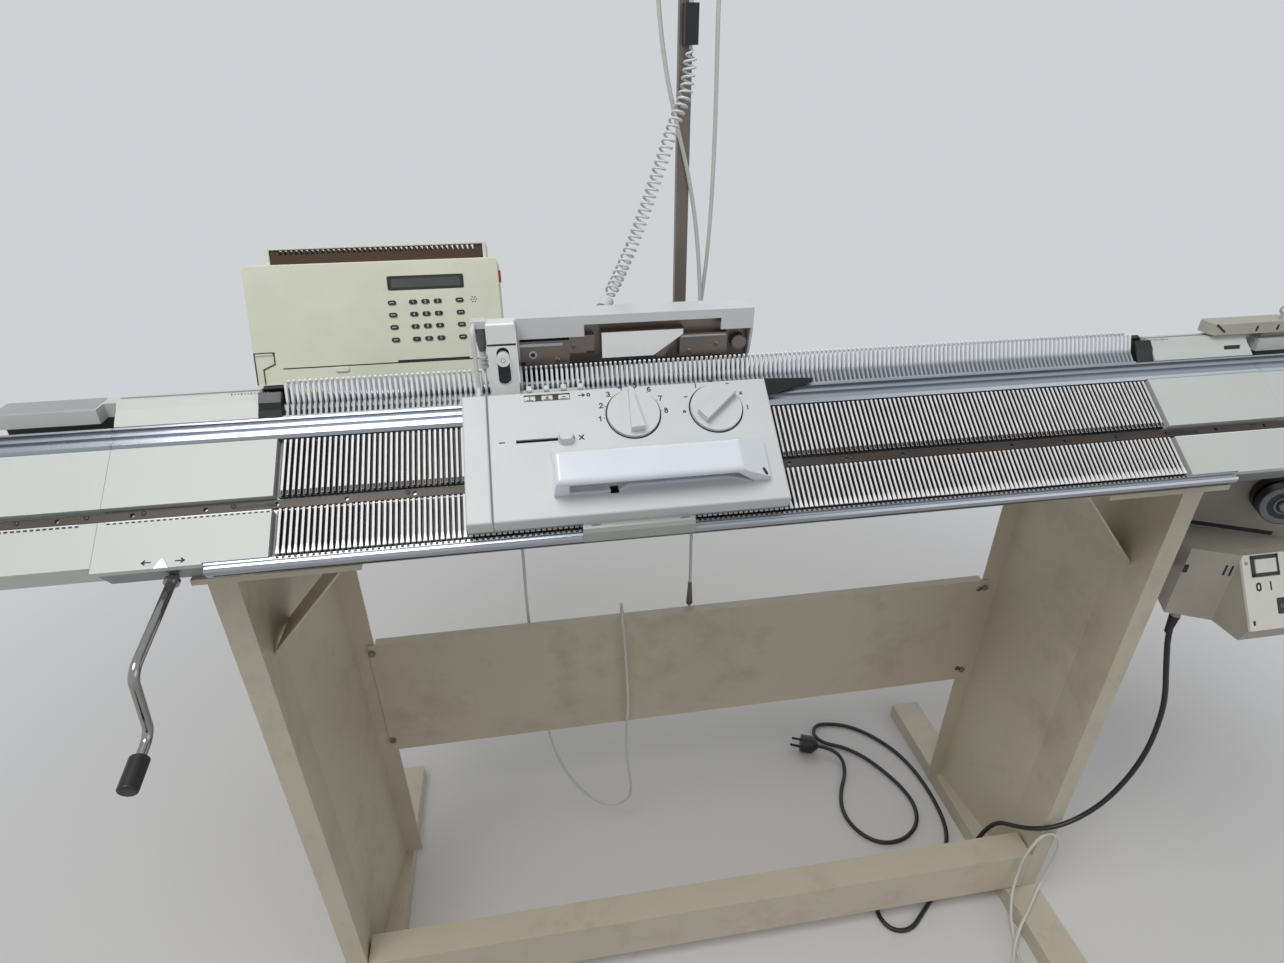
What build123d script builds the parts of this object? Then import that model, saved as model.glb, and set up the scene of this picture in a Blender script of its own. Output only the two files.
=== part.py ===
from build123d import *
from math import sin, cos, tan, atan2, hypot, pi, radians, degrees
import os

# Domestic double-bed knitting machine on its stand.
# X runs along the beds, +Y away from the knitter, +Z up. Millimetres.
# The origin is on the floor, midway between the ends of the foot bars.

# Needle beds
needle_count = 179
needle_pitch = 5.0
bed_angle = 37.0
bed_height = 850.0
front_line_y = -108.0
ridge_run = 102.0
bed_half = 593.5
machine_half = 760.0
seam_gap = 0.5
plate_thickness = 6.0
flange_thickness = 8.0
flange_depth = 20.0
slot_depth = 8.0
low_edge = -38.5
high_edge = 108.0
inner_flange = 60.0

# Ribbed slot covers
rib_width = 2.0
rib_base = 3.0
upper_strip_low = 19.0
upper_strip_high = 75.0
lower_strip_low = -36.5
lower_strip_high = 6.0
strip_margin = 4.0

# Sinker combs
comb_foot = 97.5
comb_root = 3.5
tooth_gap = 2.8

# Rails and steel strip
rail_low = 77.0
rail_high = 97.0
front_rail_half = 505.0
rail_reach = 10.0
rail_rib_h = 2.5
groove_h = -3.5
strip_low = 9.0
strip_high = 17.0
strip_thickness = 2.5
strip_hole_radius = 2.0
strip_hole_pitch = 60.0

# End panels, run-outs and ridge caps
panel_wall = 2.0
panel_low = -40.0
panel_top = 0.3
run_out_low = -35.0
panel_start = 452.0
block_length = 20.0
cap_gap = 0.5
cap_wall = 2.0
cap_split = 2.0
racking_travel = 15.0
lid_end = 700.0
lid_low_z = 910.0
lid_top_z = 924.0
pointer_x = -537.0
pointer_pin_radius = 1.0
pointer_thickness = 1.5
pointer_half = 6.0
pointer_tail = 3.2
pointer_tip = 5.0

# Yarn changer
changer_left = 545.0
changer_right = 735.0
changer_low_z = 931.5
changer_top_z = 944.0
eyelet_count = 4
eyelet_pitch = 26.0
eyelet_wire = 0.9
eyelet_loop = 4.0

# Stand
foot_length = 620.0
foot_width = 55.0
foot_height = 30.0
foot_inner = 480.0
tube_wall = 2.0
sheet = 2.0
leg_top = 790.0
leg_front_y = -93.0
leg_rear_y = 132.0
leg_outer = 531.0
leg_flange = 26.0
leg_fold_x = 512.0
leg_fold_y = -30.0
leg_rear_x = 492.0
leg_rear_flange = 27.0
beam_depth = 41.0
beam_height = 80.0
beam_low = 33.0
panel_sheet_low = 282.0
panel_sheet_high = 488.0
panel_lip = 12.0
screw_head_radius = 5.0
screw_head_height = 3.0
support_base = 6.0
support_web = 10.0
support_inner = 385.0
brace_low_z = 655.0
brace_width = 60.0

# Lock
lock_left = -282.0
lock_right = 14.0
lock_seam = -258.5
lock_low = -36.5
lock_high = 96.0
frame_low = 4.0
frame_top = 8.0
lock_top = 22.0
lock_wall = 2.5
dial_radius = 25.0
dial_thickness = 3.0
dial_clearance = 0.3
wedge_height = 9.0
dial_shaft_radius = 4.0
shaft_clearance = 0.05
stitch_dial_x = -122.0
pattern_dial_x = -41.0
dial_line = 65.0
button_size = 5.5
button_first = -218.3
button_pitch = 16.3
button_line = 99.1
button_rise = 2.5
button_travel = 3.0
button_clearance = 0.2
button_stem = 3.0
button_gap = 0.5
lever_slot_left = -234.0
lever_slot_right = -180.0
lever_slot_width = 3.4
lever_line = 44.0
lever_home = -188.0
handle_left = -204.0
handle_right = -4.0
handle_low = -14.0
handle_high = 26.0
handle_rise = 27.0
handle_wall = 5.0

# Back lock and bridge
cover_front_y = 3.0
cover_top_z = 983.0
cover_lip_z = 962.0
cover_flat = 34.0
cover_wall = 2.5
post_left = -254.0
post_right = -227.0
post_y = -33.0
post_thickness = 5.0
post_top_z = 977.0
post_slot_x = -240.0
post_slot_width = 12.0
post_slot_low_z = 929.0
post_slot_high_z = 967.0
knob_z = 957.0
cap_height = 13.0
cap_rear_height = 4.0
cap_flat = 10.0
cap_tongue = 12.0
feeder_x = -260.0
feeder_rod_x = -266.0
feeder_radius = 5.0
cord_x = -122.0

# Racking crank
crank_x = -540.0
crank_drop = 12.0
crank_rod_radius = 4.2
crank_reach = 103.0
crank_throw = 82.0
crank_rest_turn = -12.5
crank_handle = 22.0
knob_length = 30.0
knob_radius = 8.0
crank_flange_h = -28.0
crank_pin_radius = 3.0
crank_collar_radius = 6.5
crank_collar_length = 4.0

# Console
console_left = -139.5
console_right = 154.0
console_height = 150.0
console_depth = 60.0
console_wall = 3.0
console_x = -399.5
console_y = 171.0
console_z = 856.0
console_lean = 20.0
key_width = 9.6
key_height = 5.2

# Mast
mast_x = -31.0
mast_y = 160.0
mast_width = 14.0
mast_depth = 10.0
mast_top_z = 1330.0
bracket_thickness = 8.0
bracket_width = 30.0

# Motor, turned towards the knitter about its left front corner
motor_x = 549.0
motor_y = -93.0
motor_turn = -27.0
motor_width = 150.0
motor_depth = 110.0
motor_low_z = 596.0
motor_mid_z = 693.0
motor_top_z = 785.0
motor_step = 61.0
motor_wall = 3.0
pulley_radius = 25.0
pulley_depth = 28.0
pulley_u = 84.0
pulley_z = 750.0
plate_left_x = 595.0
plate_width = 80.0
plate_top_y = -112.0
plate_top_z = 690.0
plate_low_y = -160.0
plate_low_z = 615.0
rocker_width = 28.0
rocker_height = 16.0
rocker_clearance = 0.6

# Cords
lock_cord_radius = 7.5
power_cord_radius = 3.5
white_cord_radius = 2.3

# Derived sizes
slope_c = cos(radians(bed_angle))
slope_s = sin(radians(bed_angle))
ridge_y = front_line_y + ridge_run
block_start = needle_count * needle_pitch / 2 + tooth_gap / 2 + cap_gap
cover_start = block_start + block_length + cap_gap
strip_half = (needle_count - 1) * needle_pitch / 2 + strip_margin
comb_half = needle_count * needle_pitch / 2 + tooth_gap / 2
seat = -slot_depth
under_plate = seat - plate_thickness
under_flange = under_plate - flange_depth

os.makedirs("parts", exist_ok=True)
pieces = {}


# Places on the beds: side 1 is the front bed and side -1 the back bed.
# s runs up the slope to the ridge and h stands off the slope.
def bed_yz(side, s, h):
    y = ridge_y - side * (ridge_run - s * slope_c + h * slope_s)
    return (y, bed_height + s * slope_s + h * slope_c)


def bed_xyz(side, x, s, h):
    y, z = bed_yz(side, s, h)
    return (x, y, z)


# Plane across the bed, local x up the slope and local y off the slope
def section_plane(side, x_start):
    y, z = bed_yz(side, 0, 0)
    return Plane(
        origin=(side * x_start, y, z),
        x_dir=(0, side * slope_c, slope_s),
        z_dir=(side, 0, 0),
    )


# Plane along the bed at height h, local x along the machine, local y up the slope
def top_plane(side, h):
    return Plane(
        origin=bed_xyz(side, 0, 0, h),
        x_dir=(side, 0, 0),
        z_dir=(0, -side * slope_s, slope_c),
    )


# Plane square to the slope at s, facing down it, local y off the slope
def across_plane(side, s):
    return Plane(
        origin=bed_xyz(side, 0, s, 0),
        x_dir=(side, 0, 0),
        z_dir=(0, -side * slope_c, -slope_s),
    )


def yz_plane(x):
    return Plane(origin=(x, 0, 0), x_dir=(0, 1, 0), z_dir=(1, 0, 0))


def xz_plane(y):
    return Plane(origin=(0, y, 0), x_dir=(1, 0, 0), z_dir=(0, -1, 0))


def plan_rectangle(x_low, x_high, s_low, s_high):
    with Locations(((x_low + x_high) / 2, (s_low + s_high) / 2)):
        Rectangle(x_high - x_low, s_high - s_low)


# Outline of a folded strip whose one face follows the points
def folded_outline(points, thickness):
    path = [Vector(*p) for p in points]
    normals = []
    for a, b in zip(path, path[1:]):
        along = (b - a).normalized()
        normals.append(Vector(-along.Y, along.X))
    far = [path[0] + normals[0] * thickness]
    for k in range(1, len(path) - 1):
        bisector = (normals[k - 1] + normals[k]).normalized()
        far.append(path[k] + bisector * (thickness / bisector.dot(normals[k])))
    far.append(path[-1] + normals[-1] * thickness)
    return [(p.X, p.Y) for p in path + far[::-1]]


def keep(label, builder):
    builder.part.label = label
    pieces[label] = builder.part


# Bed bodies: an extruded channel under each bed
bed_section = [
    (low_edge, seat),
    (high_edge, seat),
    (high_edge, under_plate),
    (inner_flange + flange_thickness, under_plate),
    (inner_flange + flange_thickness, under_flange),
    (inner_flange, under_flange),
    (inner_flange, under_plate),
    (low_edge + flange_thickness, under_plate),
    (low_edge + flange_thickness, under_flange),
    (low_edge, under_flange),
]


# Ribbed strip with one rib at each needle
def rib_outline():
    points = [(-strip_half, seat), (-strip_half, seat + rib_base)]
    first = -(needle_count - 1) * needle_pitch / 2
    for k in range(needle_count):
        x = first + k * needle_pitch
        points.append((x - rib_width / 2, seat + rib_base))
        points.append((x - rib_width / 2, 0))
        points.append((x + rib_width / 2, 0))
        points.append((x + rib_width / 2, seat + rib_base))
    points += [(strip_half, seat + rib_base), (strip_half, seat)]
    return points


crank_run = radians(crank_drop)
crank_axis = Vector(0, -cos(crank_run), -sin(crank_run))
crank_turned = radians(crank_rest_turn)
crank_down = Vector(
    sin(crank_turned), cos(crank_turned) * sin(crank_run), -cos(crank_turned) * cos(crank_run)
)
crank_root = Vector(*bed_xyz(1, crank_x, low_edge, crank_flange_h))

with BuildPart() as front_bed_body:
    with BuildSketch(section_plane(1, -bed_half)):
        with BuildLine():
            Polyline(*bed_section, close=True)
        make_face()
    extrude(amount=2 * bed_half)
    with BuildSketch(Plane(origin=crank_root, x_dir=(1, 0, 0), z_dir=crank_axis)):
        Circle(crank_rod_radius + shaft_clearance)
    extrude(amount=2 * flange_thickness, both=True, mode=Mode.SUBTRACT)
keep("front_bed_body", front_bed_body)

with BuildPart() as front_slots:
    for s_low, s_high in ((lower_strip_low, lower_strip_high), (upper_strip_low, upper_strip_high)):
        with BuildSketch(across_plane(1, s_high)):
            with BuildLine():
                Polyline(*rib_outline(), close=True)
            make_face()
        extrude(amount=s_high - s_low)
keep("front_slots", front_slots)

with BuildPart() as back_bed_body:
    with BuildSketch(section_plane(-1, -bed_half)):
        with BuildLine():
            Polyline(*bed_section, close=True)
        make_face()
    extrude(amount=2 * bed_half)
    for s_low, s_high in ((lower_strip_low, lower_strip_high), (upper_strip_low, upper_strip_high)):
        with BuildSketch(across_plane(-1, s_high)):
            with BuildLine():
                Polyline(*rib_outline(), close=True)
            make_face()
        extrude(amount=s_high - s_low)
keep("back_bed_body", back_bed_body)

# Sinker combs: fingers that bend up at the ridge
comb_section = [
    (comb_foot, seat),
    (comb_foot, -1),
    (comb_foot + 14.5, 0.5),
    (comb_foot + 30.5, 10.5),
    (comb_foot + 32, 8.5),
    (comb_foot + 17.5, -3.5),
    (high_edge, seat),
]
for side, name in ((1, "front_comb"), (-1, "back_comb")):
    with BuildPart() as comb:
        with BuildSketch(section_plane(side, -comb_half)):
            with BuildLine():
                Polyline(*comb_section, close=True)
            make_face()
        extrude(amount=2 * comb_half)
        gap_length = 40.0
        with BuildSketch(top_plane(side, seat - 1)):
            with Locations((0, comb_foot + comb_root + gap_length / 2)):
                with GridLocations(needle_pitch, gap_length, needle_count + 1, 1):
                    Rectangle(tooth_gap, gap_length)
        extrude(amount=30, mode=Mode.SUBTRACT)
    keep(name, comb)

# Aluminium rails
ridge_rail_section = [
    (rail_low, seat),
    (rail_low, -1),
    (rail_low + 3, 1.5),
    (rail_low + 5, 1.5),
    (rail_low + 6, -1),
    (rail_low + 10, -1),
    (rail_low + 11, rail_rib_h),
    (rail_low + 13.5, rail_rib_h),
    (rail_low + 14.5, -1),
    (rail_low + 17, -1),
    (rail_low + 18, 3),
    (rail_high, 3),
    (rail_high, seat),
]
low_rail_section = [
    (low_edge, seat - 3),
    (low_edge, -1.5),
    (low_edge - 2, -1.5),
    (low_edge - 3, groove_h),
    (low_edge - 5, groove_h),
    (low_edge - 6, -2),
    (low_edge - 8.5, -3),
    (low_edge - rail_reach, -6.5),
    (low_edge - rail_reach, -13),
    (low_edge - rail_reach + 2, -13),
    (low_edge - rail_reach + 2, seat - 3),
]
run_out_start = bed_half + seam_gap
with BuildPart() as upper_rail:
    for start, end in (
        (-machine_half, -run_out_start),
        (-bed_half, bed_half),
        (run_out_start, machine_half),
    ):
        with BuildSketch(section_plane(1, start)):
            with BuildLine():
                Polyline(*ridge_rail_section, close=True)
            make_face()
        extrude(amount=end - start)
keep("upper_rail", upper_rail)

with BuildPart() as front_rail:
    with BuildSketch(section_plane(1, -front_rail_half)):
        with BuildLine():
            Polyline(*low_rail_section, close=True)
        make_face()
    extrude(amount=2 * front_rail_half)
keep("front_rail", front_rail)

with BuildPart() as back_rails:
    for section, half in ((ridge_rail_section, bed_half), (low_rail_section, bed_half)):
        with BuildSketch(section_plane(-1, -half)):
            with BuildLine():
                Polyline(*section, close=True)
            make_face()
        extrude(amount=2 * half)
keep("back_rails", back_rails)

# Steel strip along the trough between the two slot covers
strip_end = machine_half - 20
with BuildPart() as steel_strip:
    with BuildSketch(top_plane(1, seat)):
        with Locations((0, (strip_low + strip_high) / 2)):
            Rectangle(2 * strip_end, strip_high - strip_low)
            with GridLocations(strip_hole_pitch, 1, int(2 * strip_end // strip_hole_pitch), 1):
                Circle(strip_hole_radius, mode=Mode.SUBTRACT)
    extrude(amount=strip_thickness)
keep("steel_strip", steel_strip)

# Outline of the cap that closes the ridge past the comb, seen along the machine
def ridge_cap_path(side):
    return [
        bed_yz(side, comb_foot + 1, seat - 2),
        bed_yz(side, comb_foot + 1, 2),
        bed_yz(side, comb_foot + 8.5, 3),
        (ridge_y - side * (cap_split + 10), 922),
        (ridge_y - side * (cap_split + 4), 929),
        (ridge_y - side * cap_split, 929),
        (ridge_y - side * cap_split, 908),
    ]


# Adds a cap past each end of the comb and trims its foot to the bed's top
def add_ridge_caps(side):
    cap_outline = folded_outline(ridge_cap_path(side), -side * cap_wall)
    for start in (-bed_half, cover_start):
        with BuildSketch(yz_plane(start)) as cap:
            Polygon(*cap_outline, align=None)
        extrude(cap.sketch, amount=bed_half - cover_start)
    with BuildSketch(section_plane(side, -machine_half)) as below_seat:
        plan_rectangle(comb_foot - 10, high_edge, seat - 20, seat)
    extrude(below_seat.sketch, amount=2 * machine_half, mode=Mode.SUBTRACT)


# White end panels: a shallow cap above and one below the steel strip, and a cap at the ridge
with BuildPart() as end_panels:
    add_ridge_caps(1)
    for x_side in (-1, 1):
        for s_low, s_high in ((low_edge, lower_strip_high), (upper_strip_low, rail_low - seam_gap)):
            middle = (x_side * (panel_start + bed_half) / 2, (s_low + s_high) / 2)
            with BuildSketch(top_plane(1, seat)):
                with Locations(middle):
                    Rectangle(bed_half - panel_start, s_high - s_low)
            extrude(amount=slot_depth + panel_top)
            with BuildSketch(top_plane(1, seat)):
                with Locations(middle):
                    Rectangle(bed_half - panel_start - 2 * panel_wall, s_high - s_low - 2 * panel_wall)
            extrude(amount=slot_depth + panel_top - panel_wall, mode=Mode.SUBTRACT)
        edge_start = front_rail_half + seam_gap
        with BuildSketch(top_plane(1, seat)):
            with Locations((x_side * (edge_start + bed_half) / 2, (panel_low + low_edge) / 2)):
                Rectangle(bed_half - edge_start, low_edge - panel_low)
        extrude(amount=slot_depth + panel_top)
    with BuildSketch(top_plane(1, panel_top)):
        with Locations((pointer_x, low_edge + 1)):
            Circle(pointer_pin_radius + shaft_clearance)
    extrude(amount=-panel_wall, mode=Mode.SUBTRACT)
keep("end_panels", end_panels)

# Racking pointer: a small plate that turns on a pin in the left end panel
pointer_gap = 0.3
with BuildPart() as racking_pointer:
    with BuildSketch(top_plane(1, panel_top + pointer_gap)):
        with Locations((pointer_x, low_edge + 1)):
            Polygon(
                (-pointer_half, -pointer_tail),
                (pointer_half, -pointer_tail),
                (1, pointer_tip),
                (-1, pointer_tip),
                align=None,
            )
    extrude(amount=pointer_thickness)
    with BuildSketch(top_plane(1, panel_top + pointer_gap)):
        with Locations((pointer_x, low_edge + 1)):
            Circle(pointer_pin_radius)
    extrude(amount=-panel_wall)
keep("racking_pointer", racking_pointer)

# Run-outs that carry the lock past the ends of the bed
run_out_section = [
    (run_out_low, under_flange),
    (run_out_low, 0),
    (lower_strip_high, 0),
    (lower_strip_high, seat),
    (upper_strip_low, seat),
    (upper_strip_low, 0),
    (rail_low - 0.5, 0),
    (rail_low - 0.5, seat),
    (rail_high, seat),
    (rail_high, under_plate),
    (run_out_low + flange_thickness, under_plate),
    (run_out_low + flange_thickness, under_flange),
]
with BuildPart() as run_outs:
    for start, end in ((-machine_half, -run_out_start), (run_out_start, machine_half)):
        with BuildSketch(section_plane(1, start)):
            with BuildLine():
                Polyline(*run_out_section, close=True)
            make_face()
        extrude(amount=end - start)
keep("run_outs", run_outs)

# Black blocks that close the ends of the combs
block_section = [
    (comb_foot, seat),
    (comb_foot, -1),
    (comb_foot + 8.5, 2.5),
    (comb_foot + 14.5, 6),
    (comb_foot + 24.5, 8),
    (comb_foot + 26.5, 4),
    (high_edge, seat),
]
for side, name in ((1, "front_end_blocks"), (-1, "back_end_blocks")):
    with BuildPart() as blocks:
        for start in (-block_start - block_length, block_start):
            with BuildSketch(section_plane(side, start)):
                with BuildLine():
                    Polyline(*block_section, close=True)
                make_face()
            extrude(amount=block_length)
    keep(name, blocks)

# Covers of the back bed's ends: a cap along the ridge and a lid past the seam
lid_front_y = ridge_y - 12
lid_back_y = ridge_y + 18
lid_step = bed_half + racking_travel + 1.5


# Plan of the lid, which leaves the front cap its room when the bed racks
def lid_plan(side, inset):
    return [
        (side * bed_half, ridge_y + cap_split + inset),
        (side * (lid_step + inset), ridge_y + cap_split + inset),
        (side * (lid_step + inset), lid_front_y + inset),
        (side * (lid_end - inset), lid_front_y + inset),
        (side * (lid_end - inset), lid_back_y - inset),
        (side * bed_half, lid_back_y - inset),
    ]


with BuildPart() as back_end_covers:
    add_ridge_caps(-1)
    for side in (-1, 1):
        with BuildSketch(Plane.XY.offset(lid_low_z)):
            Polygon(*lid_plan(side, 0), align=None)
        extrude(amount=lid_top_z - lid_low_z)
        with BuildSketch(Plane.XY.offset(lid_low_z)):
            Polygon(*lid_plan(side, cap_wall), align=None)
        extrude(amount=lid_top_z - lid_low_z - cap_wall, mode=Mode.SUBTRACT)
keep("back_end_covers", back_end_covers)

# Yarn changer at the right end: a housing over the ridge with wire eyelets
changer_front_y = ridge_y - 12
changer_back_y = ridge_y + 12
eyelet_stem = 8.0
eyelet_y = ridge_y - 4
eyelet_inset = 22.0
changer_corner = 5.0
changer_foot_inset = 45.0
changer_foot_length = 70.0
changer_foot_depth = 12.0
changer_foot_y = ridge_y + 3
with BuildPart() as yarn_changer:
    with BuildSketch(Plane.XY.offset(changer_low_z)):
        with Locations(((changer_left + changer_right) / 2, (changer_front_y + changer_back_y) / 2)):
            Rectangle(changer_right - changer_left, changer_back_y - changer_front_y)
    extrude(amount=changer_top_z - changer_low_z)
    fillet(yarn_changer.edges().filter_by(Axis.Z), changer_corner)
    with BuildSketch(Plane.XY.offset(lid_top_z)):
        with Locations((lid_end - changer_foot_inset, changer_foot_y)):
            Rectangle(changer_foot_length, changer_foot_depth)
    extrude(amount=changer_low_z - lid_top_z)
    for k in range(eyelet_count):
        x = changer_right - eyelet_inset - k * eyelet_pitch
        with BuildSketch(Plane.XY.offset(changer_top_z)):
            with Locations((x, eyelet_y)):
                Circle(eyelet_wire)
        extrude(amount=eyelet_stem)
        with BuildSketch(xz_plane(eyelet_y)):
            with Locations((x, changer_top_z + eyelet_stem + eyelet_loop - eyelet_wire)):
                Circle(eyelet_loop + eyelet_wire)
                Circle(eyelet_loop - eyelet_wire, mode=Mode.SUBTRACT)
        extrude(amount=eyelet_wire, both=True)
keep("yarn_changer", yarn_changer)

# Stand
leg_path = [
    (leg_outer, leg_front_y),
    (leg_outer - leg_flange, leg_front_y),
    (leg_fold_x, leg_fold_y),
    (leg_rear_x, leg_rear_y),
    (leg_rear_x - leg_rear_flange, leg_rear_y),
]
for side, name in ((-1, "left_leg"), (1, "right_leg")):
    path = leg_path if side == 1 else [(-x, y) for x, y in leg_path]
    with BuildPart() as leg:
        with BuildSketch(Plane.XY.offset(foot_height)):
            with BuildLine():
                Polyline(*folded_outline(path, -side * sheet), close=True)
            make_face()
        extrude(amount=leg_top - foot_height)
    keep(name, leg)

foot_middle = foot_inner + foot_width / 2
with BuildPart() as foot_bars:
    with BuildSketch(xz_plane(foot_length / 2)):
        for side in (-1, 1):
            with Locations((side * foot_middle, foot_height / 2)):
                Rectangle(foot_width, foot_height)
                Rectangle(foot_width - 2 * tube_wall, foot_height - 2 * tube_wall, mode=Mode.SUBTRACT)
    extrude(amount=foot_length)
keep("foot_bars", foot_bars)

beam_gap = 0.4
beam_half = leg_outer - leg_flange - beam_gap
with BuildPart() as front_beam:
    with BuildSketch(yz_plane(-beam_half)):
        with Locations((leg_front_y + beam_depth / 2, beam_low + beam_height / 2)):
            Rectangle(beam_depth, beam_height)
            Rectangle(beam_depth - 2 * tube_wall, beam_height - 2 * tube_wall, mode=Mode.SUBTRACT)
    extrude(amount=2 * beam_half)
keep("front_beam", front_beam)

back_panel_half = leg_rear_x - 18
back_panel_path = [
    (leg_rear_y + panel_lip, panel_sheet_low),
    (leg_rear_y, panel_sheet_low),
    (leg_rear_y, panel_sheet_high),
    (leg_rear_y + panel_lip, panel_sheet_high),
]
flange_overlap = back_panel_half - (leg_rear_x - leg_rear_flange)
screw_x = back_panel_half - flange_overlap / 2
screw_low = panel_sheet_low + 20
screw_high = panel_sheet_high - 12
with BuildPart() as back_panel:
    with BuildSketch(yz_plane(-back_panel_half)):
        with BuildLine():
            Polyline(*folded_outline(back_panel_path, sheet), close=True)
        make_face()
    extrude(amount=2 * back_panel_half)
    with BuildSketch(xz_plane(leg_rear_y + panel_lip + 1)):
        for side in (-1, 1):
            with Locations((side * back_panel_half, (panel_sheet_low + panel_sheet_high) / 2)):
                Rectangle(2 * (flange_overlap + 1), panel_sheet_high - panel_sheet_low + 10)
    extrude(amount=panel_lip + 1, mode=Mode.SUBTRACT)
keep("back_panel", back_panel)

with BuildPart() as stand_screws:
    with BuildSketch(xz_plane(leg_rear_y - sheet)):
        for side in (-1, 1):
            with Locations((side * screw_x, screw_low), (side * screw_x, screw_high)):
                Circle(screw_head_radius)
    extrude(amount=screw_head_height)
keep("stand_screws", stand_screws)

# Bed supports: a shelf on each leg, a web up to both beds and a corner brace
web_low_front = bed_yz(1, low_edge, under_flange)
web_low_back = bed_yz(-1, low_edge, under_flange)
web_top_z = web_low_front[1] + (ridge_y - web_low_front[0]) * tan(radians(bed_angle))
shelf_top = leg_top + support_base
with BuildPart() as bed_supports:
    for side in (-1, 1):
        web_x = side * (leg_rear_x - support_web) - support_web / 2
        with BuildSketch(yz_plane(web_x)):
            with BuildLine():
                Polyline(
                    (web_low_front[0], shelf_top),
                    web_low_front,
                    (ridge_y, web_top_z),
                    web_low_back,
                    (web_low_back[0], shelf_top),
                    close=True,
                )
            make_face()
            with Locations((ridge_y, shelf_top + 28)):
                Circle(16, mode=Mode.SUBTRACT)
        extrude(amount=support_web)
        shelf_middle = side * (support_inner + leg_outer) / 2
        with BuildSketch(Plane.XY.offset(leg_top)):
            with Locations((shelf_middle, (web_low_front[0] + leg_rear_y) / 2)):
                Rectangle(leg_outer - support_inner, leg_rear_y - web_low_front[0])
        extrude(amount=support_base)
        brace_outer = leg_fold_x - sheet - 2.5
        with BuildSketch(xz_plane(leg_fold_y + brace_width / 2)):
            with BuildLine():
                Polyline(
                    (side * brace_outer, brace_low_z),
                    (side * (support_inner + 4), leg_top),
                    (side * (support_inner + 1), leg_top),
                    (side * brace_outer, brace_low_z - 4),
                    close=True,
                )
            make_face()
        extrude(amount=brace_width)
keep("bed_supports", bed_supports)

# Lock: base frame with its glides and the guide that hooks over the front rail
guide_left = -180.0
guide_right = -76.0
guide_thickness = 2.0
guide_drop = 16.0
guide_low_h = -3.5
guide_start = low_edge - 3.5
wing_length = 56.0
guide_reach = low_edge - rail_reach - 2
glide_gap = 0.3
glide_half = 12.0
glide_inset = 20.0
glide_start = low_edge - 4.8
glide_end = low_edge - 3.6
shoe_gap = 0.05
lug_high = 107.0
lug_right = button_first + 3 * button_pitch + button_size
with BuildPart() as lock_frame:
    with BuildSketch(top_plane(1, frame_low)):
        plan_rectangle(lock_left, lock_right, lock_low, lock_high)
        plan_rectangle(guide_left, guide_right, guide_start, lock_low)
        plan_rectangle(post_left, lug_right, lock_high, lug_high)
    extrude(amount=frame_top - frame_low)
    with BuildSketch(top_plane(1, rail_rib_h + glide_gap)):
        for x in (lock_left + glide_inset, lock_right - glide_inset):
            plan_rectangle(x - glide_half, x + glide_half, rail_low + 11, rail_low + 13.5)
    extrude(amount=frame_low - rail_rib_h - glide_gap)
    with BuildSketch(section_plane(1, guide_left)):
        Polygon(
            (guide_start - shoe_gap, frame_low),
            (guide_start - shoe_gap, frame_top),
            (guide_reach + 5, frame_low + 2),
            (guide_reach, guide_low_h + 2),
            (guide_reach, guide_low_h),
            (guide_reach + 2, guide_low_h),
            (guide_reach + 5.5, frame_low),
            align=None,
        )
    extrude(amount=guide_right - guide_left)
    with BuildSketch(top_plane(1, groove_h + glide_gap)):
        for x in (guide_left + glide_half, guide_right - glide_half):
            plan_rectangle(x - glide_half, x + glide_half, glide_start, glide_end)
    extrude(amount=frame_low - groove_h - glide_gap - shoe_gap)
    with BuildSketch(top_plane(1, frame_low)):
        Polygon(
            (lock_right, lock_high - 12),
            (lock_right, lock_high + 8),
            (lock_right + wing_length, lock_high + 5),
            (lock_right + wing_length, lock_high + 2),
            align=None,
        )
    extrude(amount=frame_top - frame_low)
    with BuildSketch(top_plane(1, frame_low)):
        for x in (stitch_dial_x, pattern_dial_x):
            with Locations((x, dial_line)):
                Circle(dial_shaft_radius + shaft_clearance)
        for k in range(4):
            with Locations((button_first + k * button_pitch, button_line)):
                Rectangle(button_stem + 2 * button_clearance, button_stem + 2 * button_clearance)
    extrude(amount=frame_top - frame_low, mode=Mode.SUBTRACT)
keep("lock_frame", lock_frame)

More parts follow.
